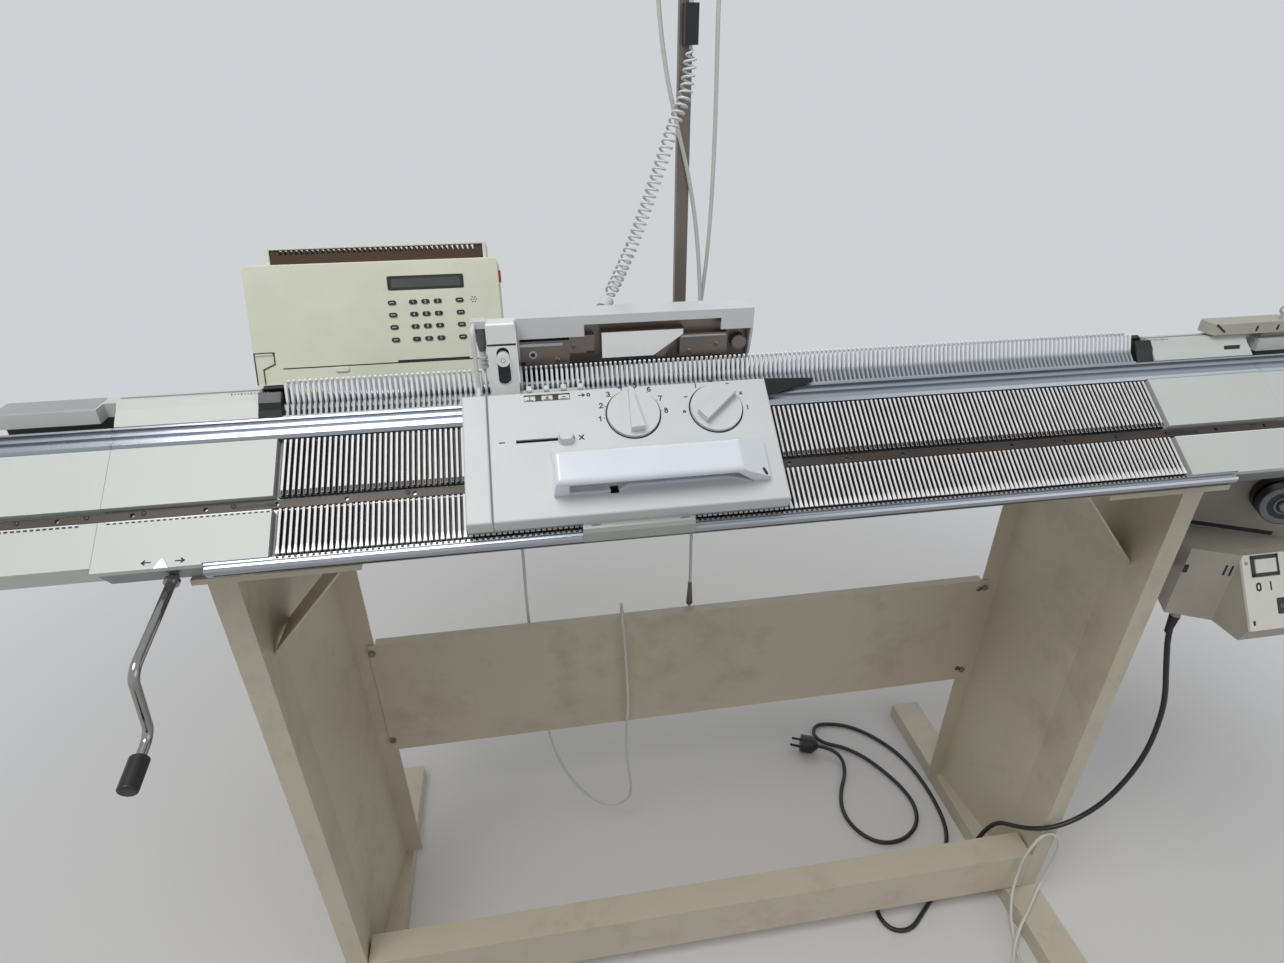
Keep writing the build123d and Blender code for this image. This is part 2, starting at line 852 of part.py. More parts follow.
# Lock cover, a moulded shell that sits on the frame, with openings for its controls
slope_normal = Vector(0, -slope_s, slope_c)
cover_height = lock_top - frame_top
window_left = -224.0
window_right = -180.5
window_low = 85.5
window_high = 93.0
counter_x = -149.0
counter_line = -11.0
counter_size = 8.0
front_lean = 2.5
front_wedge = [
    (lock_low - 1, frame_top - 1),
    (lock_low, frame_top),
    (lock_low + front_lean, lock_top),
    (lock_low + front_lean, lock_top + 1),
    (lock_low - 1, lock_top + 1),
]
with BuildPart() as lock_cover:
    with BuildSketch(top_plane(1, frame_top)):
        plan_rectangle(lock_seam, lock_right, lock_low, lock_high)
    extrude(amount=cover_height)
    with BuildSketch(section_plane(1, lock_seam)):
        Polygon(*front_wedge, align=None)
    extrude(amount=lock_right - lock_seam, mode=Mode.SUBTRACT)
    top_edges = lock_cover.edges().group_by(Axis((0, 0, 0), slope_normal))[-1]
    fillet(top_edges, 2.0)
    with BuildSketch(top_plane(1, frame_top)):
        plan_rectangle(
            lock_seam + lock_wall,
            lock_right - lock_wall,
            lock_low + front_lean + lock_wall,
            lock_high - lock_wall,
        )
    extrude(amount=cover_height - lock_wall, mode=Mode.SUBTRACT)
    with BuildSketch(top_plane(1, lock_top)):
        for x in (stitch_dial_x, pattern_dial_x):
            with Locations((x, dial_line)):
                Circle(dial_shaft_radius + shaft_clearance)
        plan_rectangle(
            lever_slot_left,
            lever_slot_right,
            lever_line - lever_slot_width / 2,
            lever_line + lever_slot_width / 2,
        )
        plan_rectangle(window_left, window_right, window_low, window_high)
        with Locations((counter_x, counter_line)):
            Rectangle(counter_size, counter_size)
    extrude(amount=-2 * lock_wall, mode=Mode.SUBTRACT)
keep("lock_cover", lock_cover)

with BuildPart() as lock_end_cover:
    with BuildSketch(top_plane(1, frame_top)):
        plan_rectangle(lock_left, lock_seam - seam_gap, lock_low, lock_high)
    extrude(amount=cover_height)
    with BuildSketch(section_plane(1, lock_left)):
        Polygon(*front_wedge, align=None)
    extrude(amount=lock_seam - seam_gap - lock_left, mode=Mode.SUBTRACT)
    end_edges = lock_end_cover.edges().group_by(Axis((0, 0, 0), slope_normal))[-1]
    fillet(end_edges, 2.0)
    with BuildSketch(top_plane(1, frame_top)):
        plan_rectangle(
            lock_left + lock_wall,
            lock_seam - seam_gap - lock_wall,
            lock_low + front_lean + lock_wall,
            lock_high - lock_wall,
        )
    extrude(amount=cover_height - lock_wall, mode=Mode.SUBTRACT)
keep("lock_end_cover", lock_end_cover)

# Handle: an arched grip with a finger pocket open towards the knitter
handle_top = lock_top + handle_rise
handle_leg = 14.0
handle_foot = 30.0
pocket_depth = handle_high - handle_low - 15
with BuildPart() as lock_handle:
    with BuildSketch(across_plane(1, handle_low)):
        Polygon(
            (handle_left, lock_top),
            (handle_left + 2, handle_top),
            (handle_right - handle_foot, handle_top),
            (handle_right, lock_top + 7),
            (handle_right, lock_top),
            align=None,
        )
    extrude(amount=handle_low - handle_high)
    with BuildSketch(section_plane(1, handle_left - 1)):
        Polygon(
            (handle_high + 1, lock_top + 6),
            (handle_high - 9, handle_top + 1),
            (handle_high + 1, handle_top + 1),
            align=None,
        )
    extrude(amount=handle_right - handle_left + 2, mode=Mode.SUBTRACT)
    fillet(lock_handle.edges().group_by(Axis((0, 0, 0), slope_normal))[-1], 5.0)
    with BuildSketch(across_plane(1, handle_low - 1)):
        Polygon(
            (handle_left + handle_leg, lock_top),
            (handle_left + handle_leg, handle_top - handle_wall),
            (handle_right - handle_foot - 4, handle_top - handle_wall),
            (handle_right - handle_leg, lock_top),
            align=None,
        )
    extrude(amount=-pocket_depth - 1, mode=Mode.SUBTRACT)
keep("lock_handle", lock_handle)

# Control dials with a wedge pointer
for name, x, turn in (("stitch_dial", stitch_dial_x, 4.0), ("pattern_dial", pattern_dial_x, -56.0)):
    with BuildPart() as dial:
        with BuildSketch(top_plane(1, lock_top + dial_clearance)):
            with Locations((x, dial_line)):
                Circle(dial_radius)
        extrude(amount=dial_thickness)
        with BuildSketch(top_plane(1, lock_top + dial_clearance + dial_thickness)):
            with Locations((x, dial_line)):
                Polygon(
                    (-1.2, dial_radius - 1),
                    (1.2, dial_radius - 1),
                    (6.5, -dial_radius + 5),
                    (-6.5, -dial_radius + 5),
                    rotation=turn,
                    align=None,
                )
        extrude(amount=wedge_height)
        with BuildSketch(top_plane(1, frame_low)):
            with Locations((x, dial_line)):
                Circle(dial_shaft_radius)
        extrude(amount=lock_top + dial_clearance - frame_low)
    keep(name, dial)

# Four push buttons behind the rear edge of the lock, each on a stem in the frame's lug
for k in range(4):
    with BuildPart() as push_button:
        with BuildSketch(top_plane(1, frame_top + button_travel + button_gap)):
            with Locations((button_first + k * button_pitch, button_line)):
                Rectangle(button_size, button_size)
        extrude(amount=lock_top + button_rise - frame_top - button_travel - button_gap)
        fillet(push_button.edges().group_by(Axis((0, 0, 0), slope_normal))[-1], 1.5)
        with BuildSketch(top_plane(1, frame_low)):
            with Locations((button_first + k * button_pitch, button_line)):
                Rectangle(button_stem, button_stem)
        extrude(amount=frame_top + button_travel + button_gap - frame_low)
    keep(f"push_button_{k + 1}", push_button)

# Slide lever
lever_length = 15.0
lever_depth = 13.0
lever_height = 8.0
with BuildPart() as slide_lever:
    with BuildSketch(top_plane(1, lock_top + dial_clearance)):
        with Locations((lever_home, lever_line)):
            RectangleRounded(lever_length, lever_depth, 5)
    extrude(amount=lever_height, taper=12)
    with BuildSketch(top_plane(1, frame_top + 1)):
        with Locations((lever_home, lever_line)):
            Rectangle(10, lever_slot_width - 2 * button_clearance)
    extrude(amount=lock_top + dial_clearance - frame_top - 1)
keep("slide_lever", slide_lever)

# Bridge post: a slotted plate from the lock frame up and over the combs
post_foot_s = (post_y - ridge_y + ridge_run + frame_top * slope_s) / slope_c
post_rear_s = post_foot_s + post_thickness / slope_c
post_rear_y = post_y + post_thickness
with BuildPart() as bridge_post:
    with BuildSketch(yz_plane(post_left)):
        Polygon(
            bed_yz(1, post_foot_s, frame_top),
            bed_yz(1, post_rear_s, frame_top),
            (post_rear_y, post_top_z),
            (cover_front_y + cap_tongue, post_top_z),
            (cover_front_y + cap_tongue, post_top_z + cap_rear_height),
            (cover_front_y, post_top_z + cap_rear_height),
            (post_y + cap_flat, post_top_z + cap_height),
            (post_y, post_top_z + cap_height),
            align=None,
        )
    extrude(amount=post_right - post_left)
    fillet(bridge_post.faces().sort_by(Axis.Z)[-1].edges(), 2.5)
    with BuildSketch(xz_plane(post_rear_y)):
        with Locations((post_slot_x, (post_slot_low_z + post_slot_high_z) / 2)):
            SlotOverall(post_slot_high_z - post_slot_low_z, post_slot_width, rotation=90)
    extrude(amount=post_thickness, mode=Mode.SUBTRACT)
keep("bridge_post", bridge_post)

# Clamp knob that slides in the post's slot
knob_gap = 0.3
knob_plate = 3.7
clamp_radius = 6.0
clamp_length = 8.0
clamp_back_radius = 7.0
with BuildPart() as bridge_knob:
    with BuildSketch(xz_plane(post_y - knob_gap)):
        with Locations((post_slot_x, knob_z)):
            Circle(clamp_radius)
    extrude(amount=clamp_length)
    with BuildSketch(xz_plane(post_rear_y + knob_gap + knob_plate)):
        with Locations((post_slot_x, knob_z)):
            Circle(post_slot_width / 2 - button_clearance)
    extrude(amount=post_thickness + 2 * knob_gap + knob_plate)
    with BuildSketch(xz_plane(post_rear_y + knob_gap + knob_plate)):
        with Locations((post_slot_x, knob_z)):
            Circle(clamp_back_radius)
    extrude(amount=knob_plate)
keep("bridge_knob", bridge_knob)

# Yarn feeder beside the post: an arm with a hollow cone, and a bent rod back to the lock
feeder_y = ridge_y - 1
feeder_arm_z = post_top_z + 3
feeder_tip_z = 937.0
feeder_rod = 2.2
feeder_arm = 7.0
feeder_stem = 3.0
feeder_tip = 1.6
feeder_bore = 0.8
feeder_rod_y = post_y + post_thickness / 2
feeder_ring_radius = 4.5
feeder_ring_count = 3
feeder_ring_pitch = 4.5
feeder_ring_z = 939.5
rod_end = Vector(*bed_xyz(1, feeder_rod_x, lock_high, (frame_top + lock_top) / 2))
rod_turn = rod_end + Vector(0, slope_c, slope_s) * ((feeder_rod_y - rod_end.Y) / slope_c)
with BuildPart() as yarn_feeder:
    with BuildSketch(Plane.XY.offset(feeder_arm_z)):
        plan_rectangle(feeder_rod_x - feeder_rod, post_left, feeder_y - 7, feeder_y + 6)
    extrude(amount=feeder_arm)
    with BuildSketch(xz_plane(feeder_y)):
        Polygon(
            (feeder_x, feeder_arm_z),
            (feeder_x + feeder_radius, feeder_arm_z),
            (feeder_x + feeder_radius, feeder_arm_z - 14),
            (feeder_x + feeder_stem, feeder_arm_z - 24),
            (feeder_x + feeder_stem, feeder_ring_z),
            (feeder_x + feeder_tip, feeder_tip_z),
            (feeder_x, feeder_tip_z),
            align=None,
        )
    revolve(axis=Axis((feeder_x, feeder_y, 0), (0, 0, 1)))
    for k in range(feeder_ring_count):
        with BuildSketch(Plane.XY.offset(feeder_ring_z + k * feeder_ring_pitch)):
            with Locations((feeder_x, feeder_y)):
                Circle(feeder_ring_radius)
        extrude(amount=feeder_ring_pitch / 2)
    with BuildSketch(Plane.XY.offset(feeder_tip_z)):
        with Locations((feeder_x, feeder_y)):
            Circle(feeder_bore)
    extrude(amount=feeder_arm_z + feeder_arm - feeder_tip_z, mode=Mode.SUBTRACT)
    with BuildLine() as feeder_route:
        feeder_path = FilletPolyline(
            (feeder_rod_x, feeder_y - 5, feeder_arm_z + feeder_arm / 2),
            (feeder_rod_x, feeder_rod_y, feeder_arm_z + feeder_arm / 2),
            tuple(rod_turn),
            tuple(rod_end),
            radius=5,
        )
    with BuildSketch(Plane(origin=feeder_path @ 0, z_dir=feeder_path % 0)):
        Circle(feeder_rod)
    sweep(path=feeder_path)
keep("yarn_feeder", yarn_feeder)

# Cords: straight runs joined by arcs as large as the runs allow
def cord_path(label, points):
    stops = [Vector(*p) for p in points]
    radii = []
    for a, b, c in zip(stops, stops[1:], stops[2:]):
        turn = (b - a).get_angle(c - b)
        shorter = min((b - a).length, (c - b).length)
        radii.append(0.45 * shorter / tan(radians(turn / 2)))
    print(label, "radii", [round(r) for r in radii])
    return FilletPolyline(*stops, radius=radii)


def keep_cord(label, points, radius):
    with BuildPart() as cord:
        with BuildLine():
            path = cord_path(label, points)
        with BuildSketch(Plane(origin=path @ 0, z_dir=path % 0)):
            Circle(radius)
        sweep(path=path)
    share = cord.part.volume / (pi * radius**2 * path.length)
    print(label, "length", round(path.length), "volume share", round(share, 4))
    keep(label, cord)


# Back lock cover: a folded shell with end walls, a cut-out over the plates and a cord gland
skirt_out = bed_yz(-1, low_edge - 8, lock_top)
plate_low_h = frame_low + 1
plate_high_h = frame_top + 1
skirt_low = bed_yz(-1, low_edge - 8, plate_high_h)
cover_left = post_right
cover_top_rear = (cover_front_y + cover_flat, cover_top_z)
shell_path = [
    (cover_front_y, cover_lip_z),
    (cover_front_y, cover_top_z),
    cover_top_rear,
    skirt_out,
    skirt_low,
]
end_wall = shell_path + [
    bed_yz(-1, 92, plate_low_h),
    (ridge_y + 20, 927),
    (ridge_y + 14, 942),
]
notch_left = -160.0
notch_right = -20.0
lock_cord_points = [
    (cord_x - 8, 60, 982),
    (cord_x + 18, 100, 1012),
    (-82, 112, 1060),
    (-61, 122, 1111),
    (-46, 132, 1147),
    (-28, 145, 1180),
    (-28, 145, 1216),
]
gland_length = 12.0
with BuildPart() as back_lock_cover:
    with BuildSketch(yz_plane(cover_left)):
        Polygon(*folded_outline(shell_path, -cover_wall), align=None)
    extrude(amount=lock_right - cover_left)
    for x in (cover_left, lock_right - cover_wall):
        with BuildSketch(yz_plane(x)):
            Polygon(*end_wall, align=None)
        extrude(amount=cover_wall)
    with BuildSketch(xz_plane(cover_front_y + cover_wall + 0.5)):
        plan_rectangle(notch_left, notch_right, cover_lip_z - 1, cover_top_z - 9)
    extrude(amount=cover_wall + 1, mode=Mode.SUBTRACT)
    gland_start = Vector(*lock_cord_points[0])
    gland_axis = Vector(*lock_cord_points[1]) - gland_start
    with BuildSketch(Plane(origin=gland_start, z_dir=gland_axis)):
        Circle(lock_cord_radius)
    extrude(amount=-gland_length)
keep("back_lock_cover", back_lock_cover)

# Steel plates of the back lock: carrier, cam blocks, deflector, toothed wheel and base plate
plate_gap = 0.3
plate_left = cover_left + cover_wall + plate_gap
plate_right = lock_right - cover_wall - plate_gap
carrier_y = cover_front_y + 15
carrier_thickness = 4.0
plate_front_y = carrier_y - 11
block_length_left = 49.0
carrier_low_z = 930.0
left_block = (931.0, 958.0)
right_block = (-62.0, -12.0, 935.0, 958.0)
middle_block_right = -150.0
middle_block = (944.0, 962.0)
deflector_left = -143.0
deflector_right = -58.0
deflector_low_z = 937.0
deflector_top_z = 965.0
wheel_x = 1.0
wheel_z = 946.0
wheel_radius = 8.0
wheel_teeth = 14
with BuildPart() as back_lock_plates:
    with BuildSketch(yz_plane(plate_left)):
        plan_rectangle(
            carrier_y, carrier_y + carrier_thickness, carrier_low_z, cover_top_z - cover_wall
        )
        Polygon(
            bed_yz(-1, low_edge - 4, plate_low_h),
            bed_yz(-1, 88, plate_low_h),
            bed_yz(-1, 88, plate_high_h),
            bed_yz(-1, low_edge - 4, plate_high_h),
            align=None,
        )
        Polygon(
            (carrier_y, carrier_low_z),
            (carrier_y + carrier_thickness, carrier_low_z),
            bed_yz(-1, 85, plate_high_h - 1),
            bed_yz(-1, 88, plate_low_h + 1),
            align=None,
        )
    extrude(amount=plate_right - plate_left)
    with BuildSketch(section_plane(-1, -guide_left)):
        Polygon(
            (low_edge - 4, plate_low_h),
            (guide_reach, plate_low_h),
            (guide_reach, frame_low - guide_drop),
            (guide_reach - guide_thickness, frame_low - guide_drop),
            (guide_reach - guide_thickness, plate_high_h),
            (low_edge - 4, plate_high_h),
            align=None,
        )
    extrude(amount=guide_left - guide_right)
    with BuildSketch(xz_plane(carrier_y)):
        plan_rectangle(plate_left, plate_left + block_length_left, *left_block)
        plan_rectangle(*right_block)
        plan_rectangle(plate_left + block_length_left, middle_block_right, *middle_block)
    extrude(amount=carrier_y - plate_front_y)
    with BuildSketch(xz_plane(carrier_y)):
        Polygon(
            (deflector_left, deflector_low_z),
            (deflector_right - 20, deflector_low_z),
            (deflector_right - 18, deflector_low_z + 6),
            (deflector_right, deflector_top_z),
            (deflector_left, deflector_top_z),
            align=None,
        )
    extrude(amount=carrier_y - cover_front_y - 0.5)
    with BuildSketch(xz_plane(carrier_y)):
        with Locations((wheel_x, wheel_z)):
            Circle(wheel_radius)
            with PolarLocations(wheel_radius, wheel_teeth):
                Rectangle(2, 1.4, mode=Mode.SUBTRACT)
    extrude(amount=carrier_y - plate_front_y)
keep("back_lock_plates", back_lock_plates)

# Racking crank: a rod bent like a Z that turns in the front flange
crank_reach_end = crank_root + crank_axis * crank_reach
crank_throw_end = crank_reach_end + crank_down * crank_throw
crank_handle_end = crank_throw_end + crank_axis * crank_handle
crank_inner = 20.0
collar_offsets = (4.5, -12.5 - crank_collar_length)
with BuildPart() as crank_rod:
    with BuildLine():
        crank_path = FilletPolyline(
            crank_root - crank_axis * crank_inner,
            crank_reach_end,
            crank_throw_end,
            crank_handle_end,
            radius=12,
        )
    with BuildSketch(Plane(origin=crank_path @ 0, z_dir=crank_path % 0)):
        Circle(crank_rod_radius)
    sweep(path=crank_path)
    for offset in collar_offsets:
        with BuildSketch(Plane(origin=crank_root + crank_axis * offset, z_dir=crank_axis)):
            Circle(crank_collar_radius)
        extrude(amount=crank_collar_length)
    with BuildSketch(Plane(origin=crank_handle_end, z_dir=crank_axis)):
        Circle(crank_pin_radius)
    extrude(amount=knob_length - 6)
keep("crank_rod", crank_rod)

knob_start = crank_handle_end + crank_axis * 0.3
with BuildPart() as crank_knob:
    with BuildSketch(Plane(origin=knob_start, z_dir=crank_axis)):
        Circle(knob_radius)
    extrude(amount=knob_length)
    fillet(crank_knob.edges(), 2)
    with BuildSketch(Plane(origin=knob_start, z_dir=crank_axis)):
        Circle(crank_pin_radius + shaft_clearance)
    extrude(amount=knob_length - 5.5, mode=Mode.SUBTRACT)
keep("crank_knob", crank_knob)

# Console: a thin case that leans back on an arm behind the left leg
console_plane = Plane(
    origin=(console_x, console_y, console_z),
    x_dir=(1, 0, 0),
    z_dir=(0, -cos(radians(console_lean)), sin(radians(console_lean))),
)
console_up = console_plane.y_dir
console_middle = (console_left + console_right) / 2
console_width = console_right - console_left
lcd_left = 22.0
lcd_right = 112.0
lcd_low = 115.0
lcd_high = 132.0
recess_depth = 1.2
seam_low = 29.0
seam_high = 30.5
seam_left = -108.0
seam_right = 126.0
clip_right = -115.0
clip_low = 12.0
clip_high = 50.0
speaker_x = 122.0
speaker_y = 101.0
speaker_radius = 0.8
switch_width = 14.0
switch_depth = 9.0
switch_v = 128.0
switch_z = -14.0
switch_clearance = 0.5
switch_rise = 2.5
pin_radius = 1.0
pin_length = 0.3
console_cable_points = [
    (-5, 158, 485),
    (-5, 158, 458),
    (-20, 162, 428),
    (-48, 164, 411),
    (-80, 162, 422),
    (-101, 159, 450),
    (-109, 156, 480),
    (-111, 149, 505),
    (-113, 132, 514),
    (-114, 119, 501),
    (-112, 118, 474),
    (-110, 121, 440),
    (-108, 121, 385),
    (-106, 121, 325),
    (-111, 122, 268),
    (-111, 122, 212),
    (-106, 122, 160),
    (-103, 123, 118),
    (-112, 126, 89),
    (-136, 130, 78),
    (-162, 134, 88),
    (-186, 139, 114),
    (-208, 144, 153),
    (-225, 148, 203),
    (-235, 152, 260),
    (-240, 155, 320),
    (-243, 156, 382),
    (-248, 157, 445),
    (-249, 158, 508),
    (-248, 160, 570),
    (-247, 164, 632),
    (-250, 170, 692),
    (-257, 178, 750),
    (-266, 188, 800),
    (-272, 194, 832),
]
console_gland_radius = 5.0
with BuildPart() as console_case:
    with BuildSketch(console_plane):
        with Locations((console_middle, console_height / 2)):
            Rectangle(console_width, console_height)
    extrude(amount=-console_depth)
    fillet(console_case.edges().filter_by(Axis((0, 0, 0), console_plane.z_dir)), 6)
    fillet(console_case.faces().sort_by(Axis((0, 0, 0), console_plane.z_dir))[-1].edges(), 1.5)
    console_end = Vector(*console_cable_points[-1])
    console_run = console_end - Vector(*console_cable_points[-2])
    with BuildSketch(Plane(origin=console_end, z_dir=console_run)):
        Circle(console_gland_radius)
    extrude(amount=18)
    with BuildSketch(console_plane.offset(-console_wall)):
        with Locations((console_middle, console_height / 2)):
            Rectangle(console_width - 2 * console_wall, console_height - 2 * console_wall)
    extrude(amount=2 * console_wall - console_depth, mode=Mode.SUBTRACT)
    with BuildSketch(console_plane):
        plan_rectangle(lcd_left, lcd_right, lcd_low, lcd_high)
        plan_rectangle(seam_left, seam_right, seam_low, seam_high)
        plan_rectangle(console_left - 1, clip_right, clip_low, clip_high)
        with Locations((speaker_x, speaker_y)):
            Circle(speaker_radius)
            with PolarLocations(3, 6):
                Circle(speaker_radius)
    extrude(amount=-recess_depth, mode=Mode.SUBTRACT)
    side_plane = Plane(
        origin=console_plane.from_local_coords((console_right, switch_v, switch_z)),
        x_dir=console_up,
        z_dir=(1, 0, 0),
    )
    with BuildSketch(side_plane):
        Rectangle(switch_width + 2 * switch_clearance, switch_depth + 2 * switch_clearance)
    extrude(amount=-console_wall, mode=Mode.SUBTRACT)
keep("console_case", console_case)

with BuildPart() as console_switch:
    with BuildSketch(side_plane.offset(switch_rise)):
        Rectangle(switch_width, switch_depth)
    extrude(amount=-switch_rise - console_wall - 3)
    pin_start = side_plane.from_local_coords((0, -switch_depth / 2 - pin_length, -console_wall / 2))
    with BuildSketch(Plane(origin=pin_start, z_dir=side_plane.y_dir)):
        Circle(pin_radius)
    extrude(amount=switch_depth + 2 * pin_length)
keep("console_switch", console_switch)

tray_left = -109.0
tray_right = 137.0
tray_rise = 17.0
tray_front = -10.0
tray_depth = 34.0
tray_ribs = 38
tray_rib_pitch = 6.0
with BuildPart() as console_tray:
    with BuildSketch(console_plane.offset(tray_front)):
        plan_rectangle(tray_left, tray_right, console_height, console_height + tray_rise)
    extrude(amount=-tray_depth)
    with BuildSketch(console_plane.offset(tray_front)):
        with Locations(((tray_left + tray_right) / 2, console_height + tray_rise - 2.5)):
            with GridLocations(tray_rib_pitch, 1, tray_ribs, 1):
                Rectangle(tray_rib_pitch / 2, 5)
    extrude(amount=-tray_depth, mode=Mode.SUBTRACT)
keep("console_tray", console_tray)

key_columns = (25.4, 50.0, 64.5, 79.0, 105.0)
key_rows = (101.0, 86.5, 72.0, 57.0)
with BuildPart() as console_keypad:
    with BuildSketch(console_plane):
        with Locations(*[(x, y) for x in key_columns for y in key_rows]):
            RectangleRounded(key_width, key_height, key_height / 2 - 0.1)
    extrude(amount=1.2)
keep("console_keypad", console_keypad)

arm_sheet = 6.0
arm_width = 20.0
arm_x = -480.0
arm_low_z = 700.0
arm_bend_z = 786.0
arm_rear_y = console_y + 23
arm_path = [
    (leg_rear_y + sheet, arm_low_z),
    (leg_rear_y + sheet, arm_bend_z),
    (arm_rear_y, arm_bend_z),
    (arm_rear_y, console_z + 10),
]
with BuildPart() as console_arm:
    with BuildSketch(yz_plane(arm_x - arm_width / 2)):
        Polygon(*folded_outline(arm_path, -arm_sheet), align=None)
    extrude(amount=arm_width)
    with BuildSketch(console_plane):
        with Locations((console_middle, console_height / 2)):
            Rectangle(console_width, console_height)
    extrude(amount=-console_depth, mode=Mode.SUBTRACT)
keep("console_arm", console_arm)

# Mast on a bracket below the back bed
bracket_y = bed_yz(-1, low_edge + flange_thickness, under_flange)
bracket_edge = bed_yz(-1, low_edge, under_flange)
mast_rear_y = mast_y + mast_depth / 2
with BuildPart() as mast:
    with BuildSketch(yz_plane(mast_x - bracket_width / 2)):
        Polygon(
            bracket_y,
            bracket_edge,
            (mast_rear_y, bracket_edge[1]),
            (mast_rear_y, bracket_edge[1] - bracket_thickness),
            (bracket_y[0], bracket_edge[1] - bracket_thickness),
            align=None,
        )
    extrude(amount=bracket_width)
    with BuildSketch(Plane.XY.offset(bracket_edge[1])):
        with Locations((mast_x, mast_y)):
            Rectangle(mast_width, mast_depth)
            Rectangle(mast_width - 2 * tube_wall, mast_depth - 2 * tube_wall, mode=Mode.SUBTRACT)
    extrude(amount=mast_top_z - bracket_edge[1])
keep("mast", mast)

# Motor unit outside the right leg: a casing open at the back, on a bracket from the leg
motor_cos = cos(radians(motor_turn))
motor_sin = sin(radians(motor_turn))


# Place in the plan of the motor: u along its front, v away from the knitter
def motor_xy(u, v):
    return (motor_x + u * motor_cos - v * motor_sin, motor_y + u * motor_sin + v * motor_cos)


motor_across = Vector(motor_cos, motor_sin, 0)
motor_back = Vector(-motor_sin, motor_cos, 0)
switch_u = (plate_left_x - motor_x) / motor_cos
plate_right_x = plate_left_x + plate_width
casing_plan = [
    motor_xy(0, 0),
    motor_xy(switch_u, 0),
    (plate_left_x, plate_top_y + 7),
    (plate_right_x + 20, plate_top_y + 7),
    motor_xy(motor_width, motor_depth),
    motor_xy(0, motor_depth),
]
web_fold = Vector(leg_fold_x, leg_fold_y)
web_along = (Vector(leg_rear_x, leg_rear_y) - web_fold).normalized()
web_out = Vector(web_along.Y, -web_along.X)
bracket_front = web_fold + web_along * 5 + web_out * sheet
bracket_rear = web_fold + web_along * 45 + web_out * sheet
bracket_low_z = 640.0
plate_thick = 3.0
tilt = degrees(atan2(plate_top_y - plate_low_y, plate_top_z - plate_low_z))
plate_length = hypot(plate_top_y - plate_low_y, plate_top_z - plate_low_z)
plate_plane = Plane(
    origin=(plate_left_x + plate_width / 2, plate_top_y, plate_top_z),
    x_dir=(1, 0, 0),
    z_dir=(0, -cos(radians(tilt)), sin(radians(tilt))),
)
rocker_u = -10.0
rocker_v = -14.0
switch_floor = 12.0
motor_gland_radius = 6.0
motor_cord_points = [
    (569, -92, 588),
    (569, -92, 563),
    (579, -101, 510),
    (599, -105, 447),
    (608, -105, 390),
    (609, -105, 338),
    (599, -105, 288),
    (577, -105, 240),
    (547, -103, 207),
    (512, -101, 190),
    (487, -88, 175),
    (478, -64, 152),
    (476, -38, 126),
    (470, -26, 90),
    (458, -26, 52),
    (438, -33, 20),
    (407, -49, 4),
    (372, -70, 4),
    (340, -94, 4),
    (310, -116, 4),
    (279, -113, 4),
    (266, -86, 4),
    (278, -58, 4),
    (308, -40, 4),
    (350, -30, 4),
    (398, -19, 4),
    (438, 5, 4),
    (459, 45, 4),
    (465, 97, 4),
    (463, 152, 4),
    (450, 206, 4),
    (421, 254, 4),
    (383, 290, 4),
    (342, 305, 4),
    (310, 306, 4),
    (296, 281, 4),
    (312, 257, 4),
    (346, 243, 4),
    (378, 213, 4),
    (402, 172, 4),
    (420, 130, 4),
    (424, 88, 4),
    (406, 52, 4),
    (368, 30, 4),
    (324, 32, 4),
    (294, 62, 4),
    (285, 104, 4),
    (300, 146, 4),
    (324, 180, 5),
    (331, 212, 10),
    (314, 234, 16),
    (290, 242, 18),
]
motor_cord_start = Vector(*motor_cord_points[0])
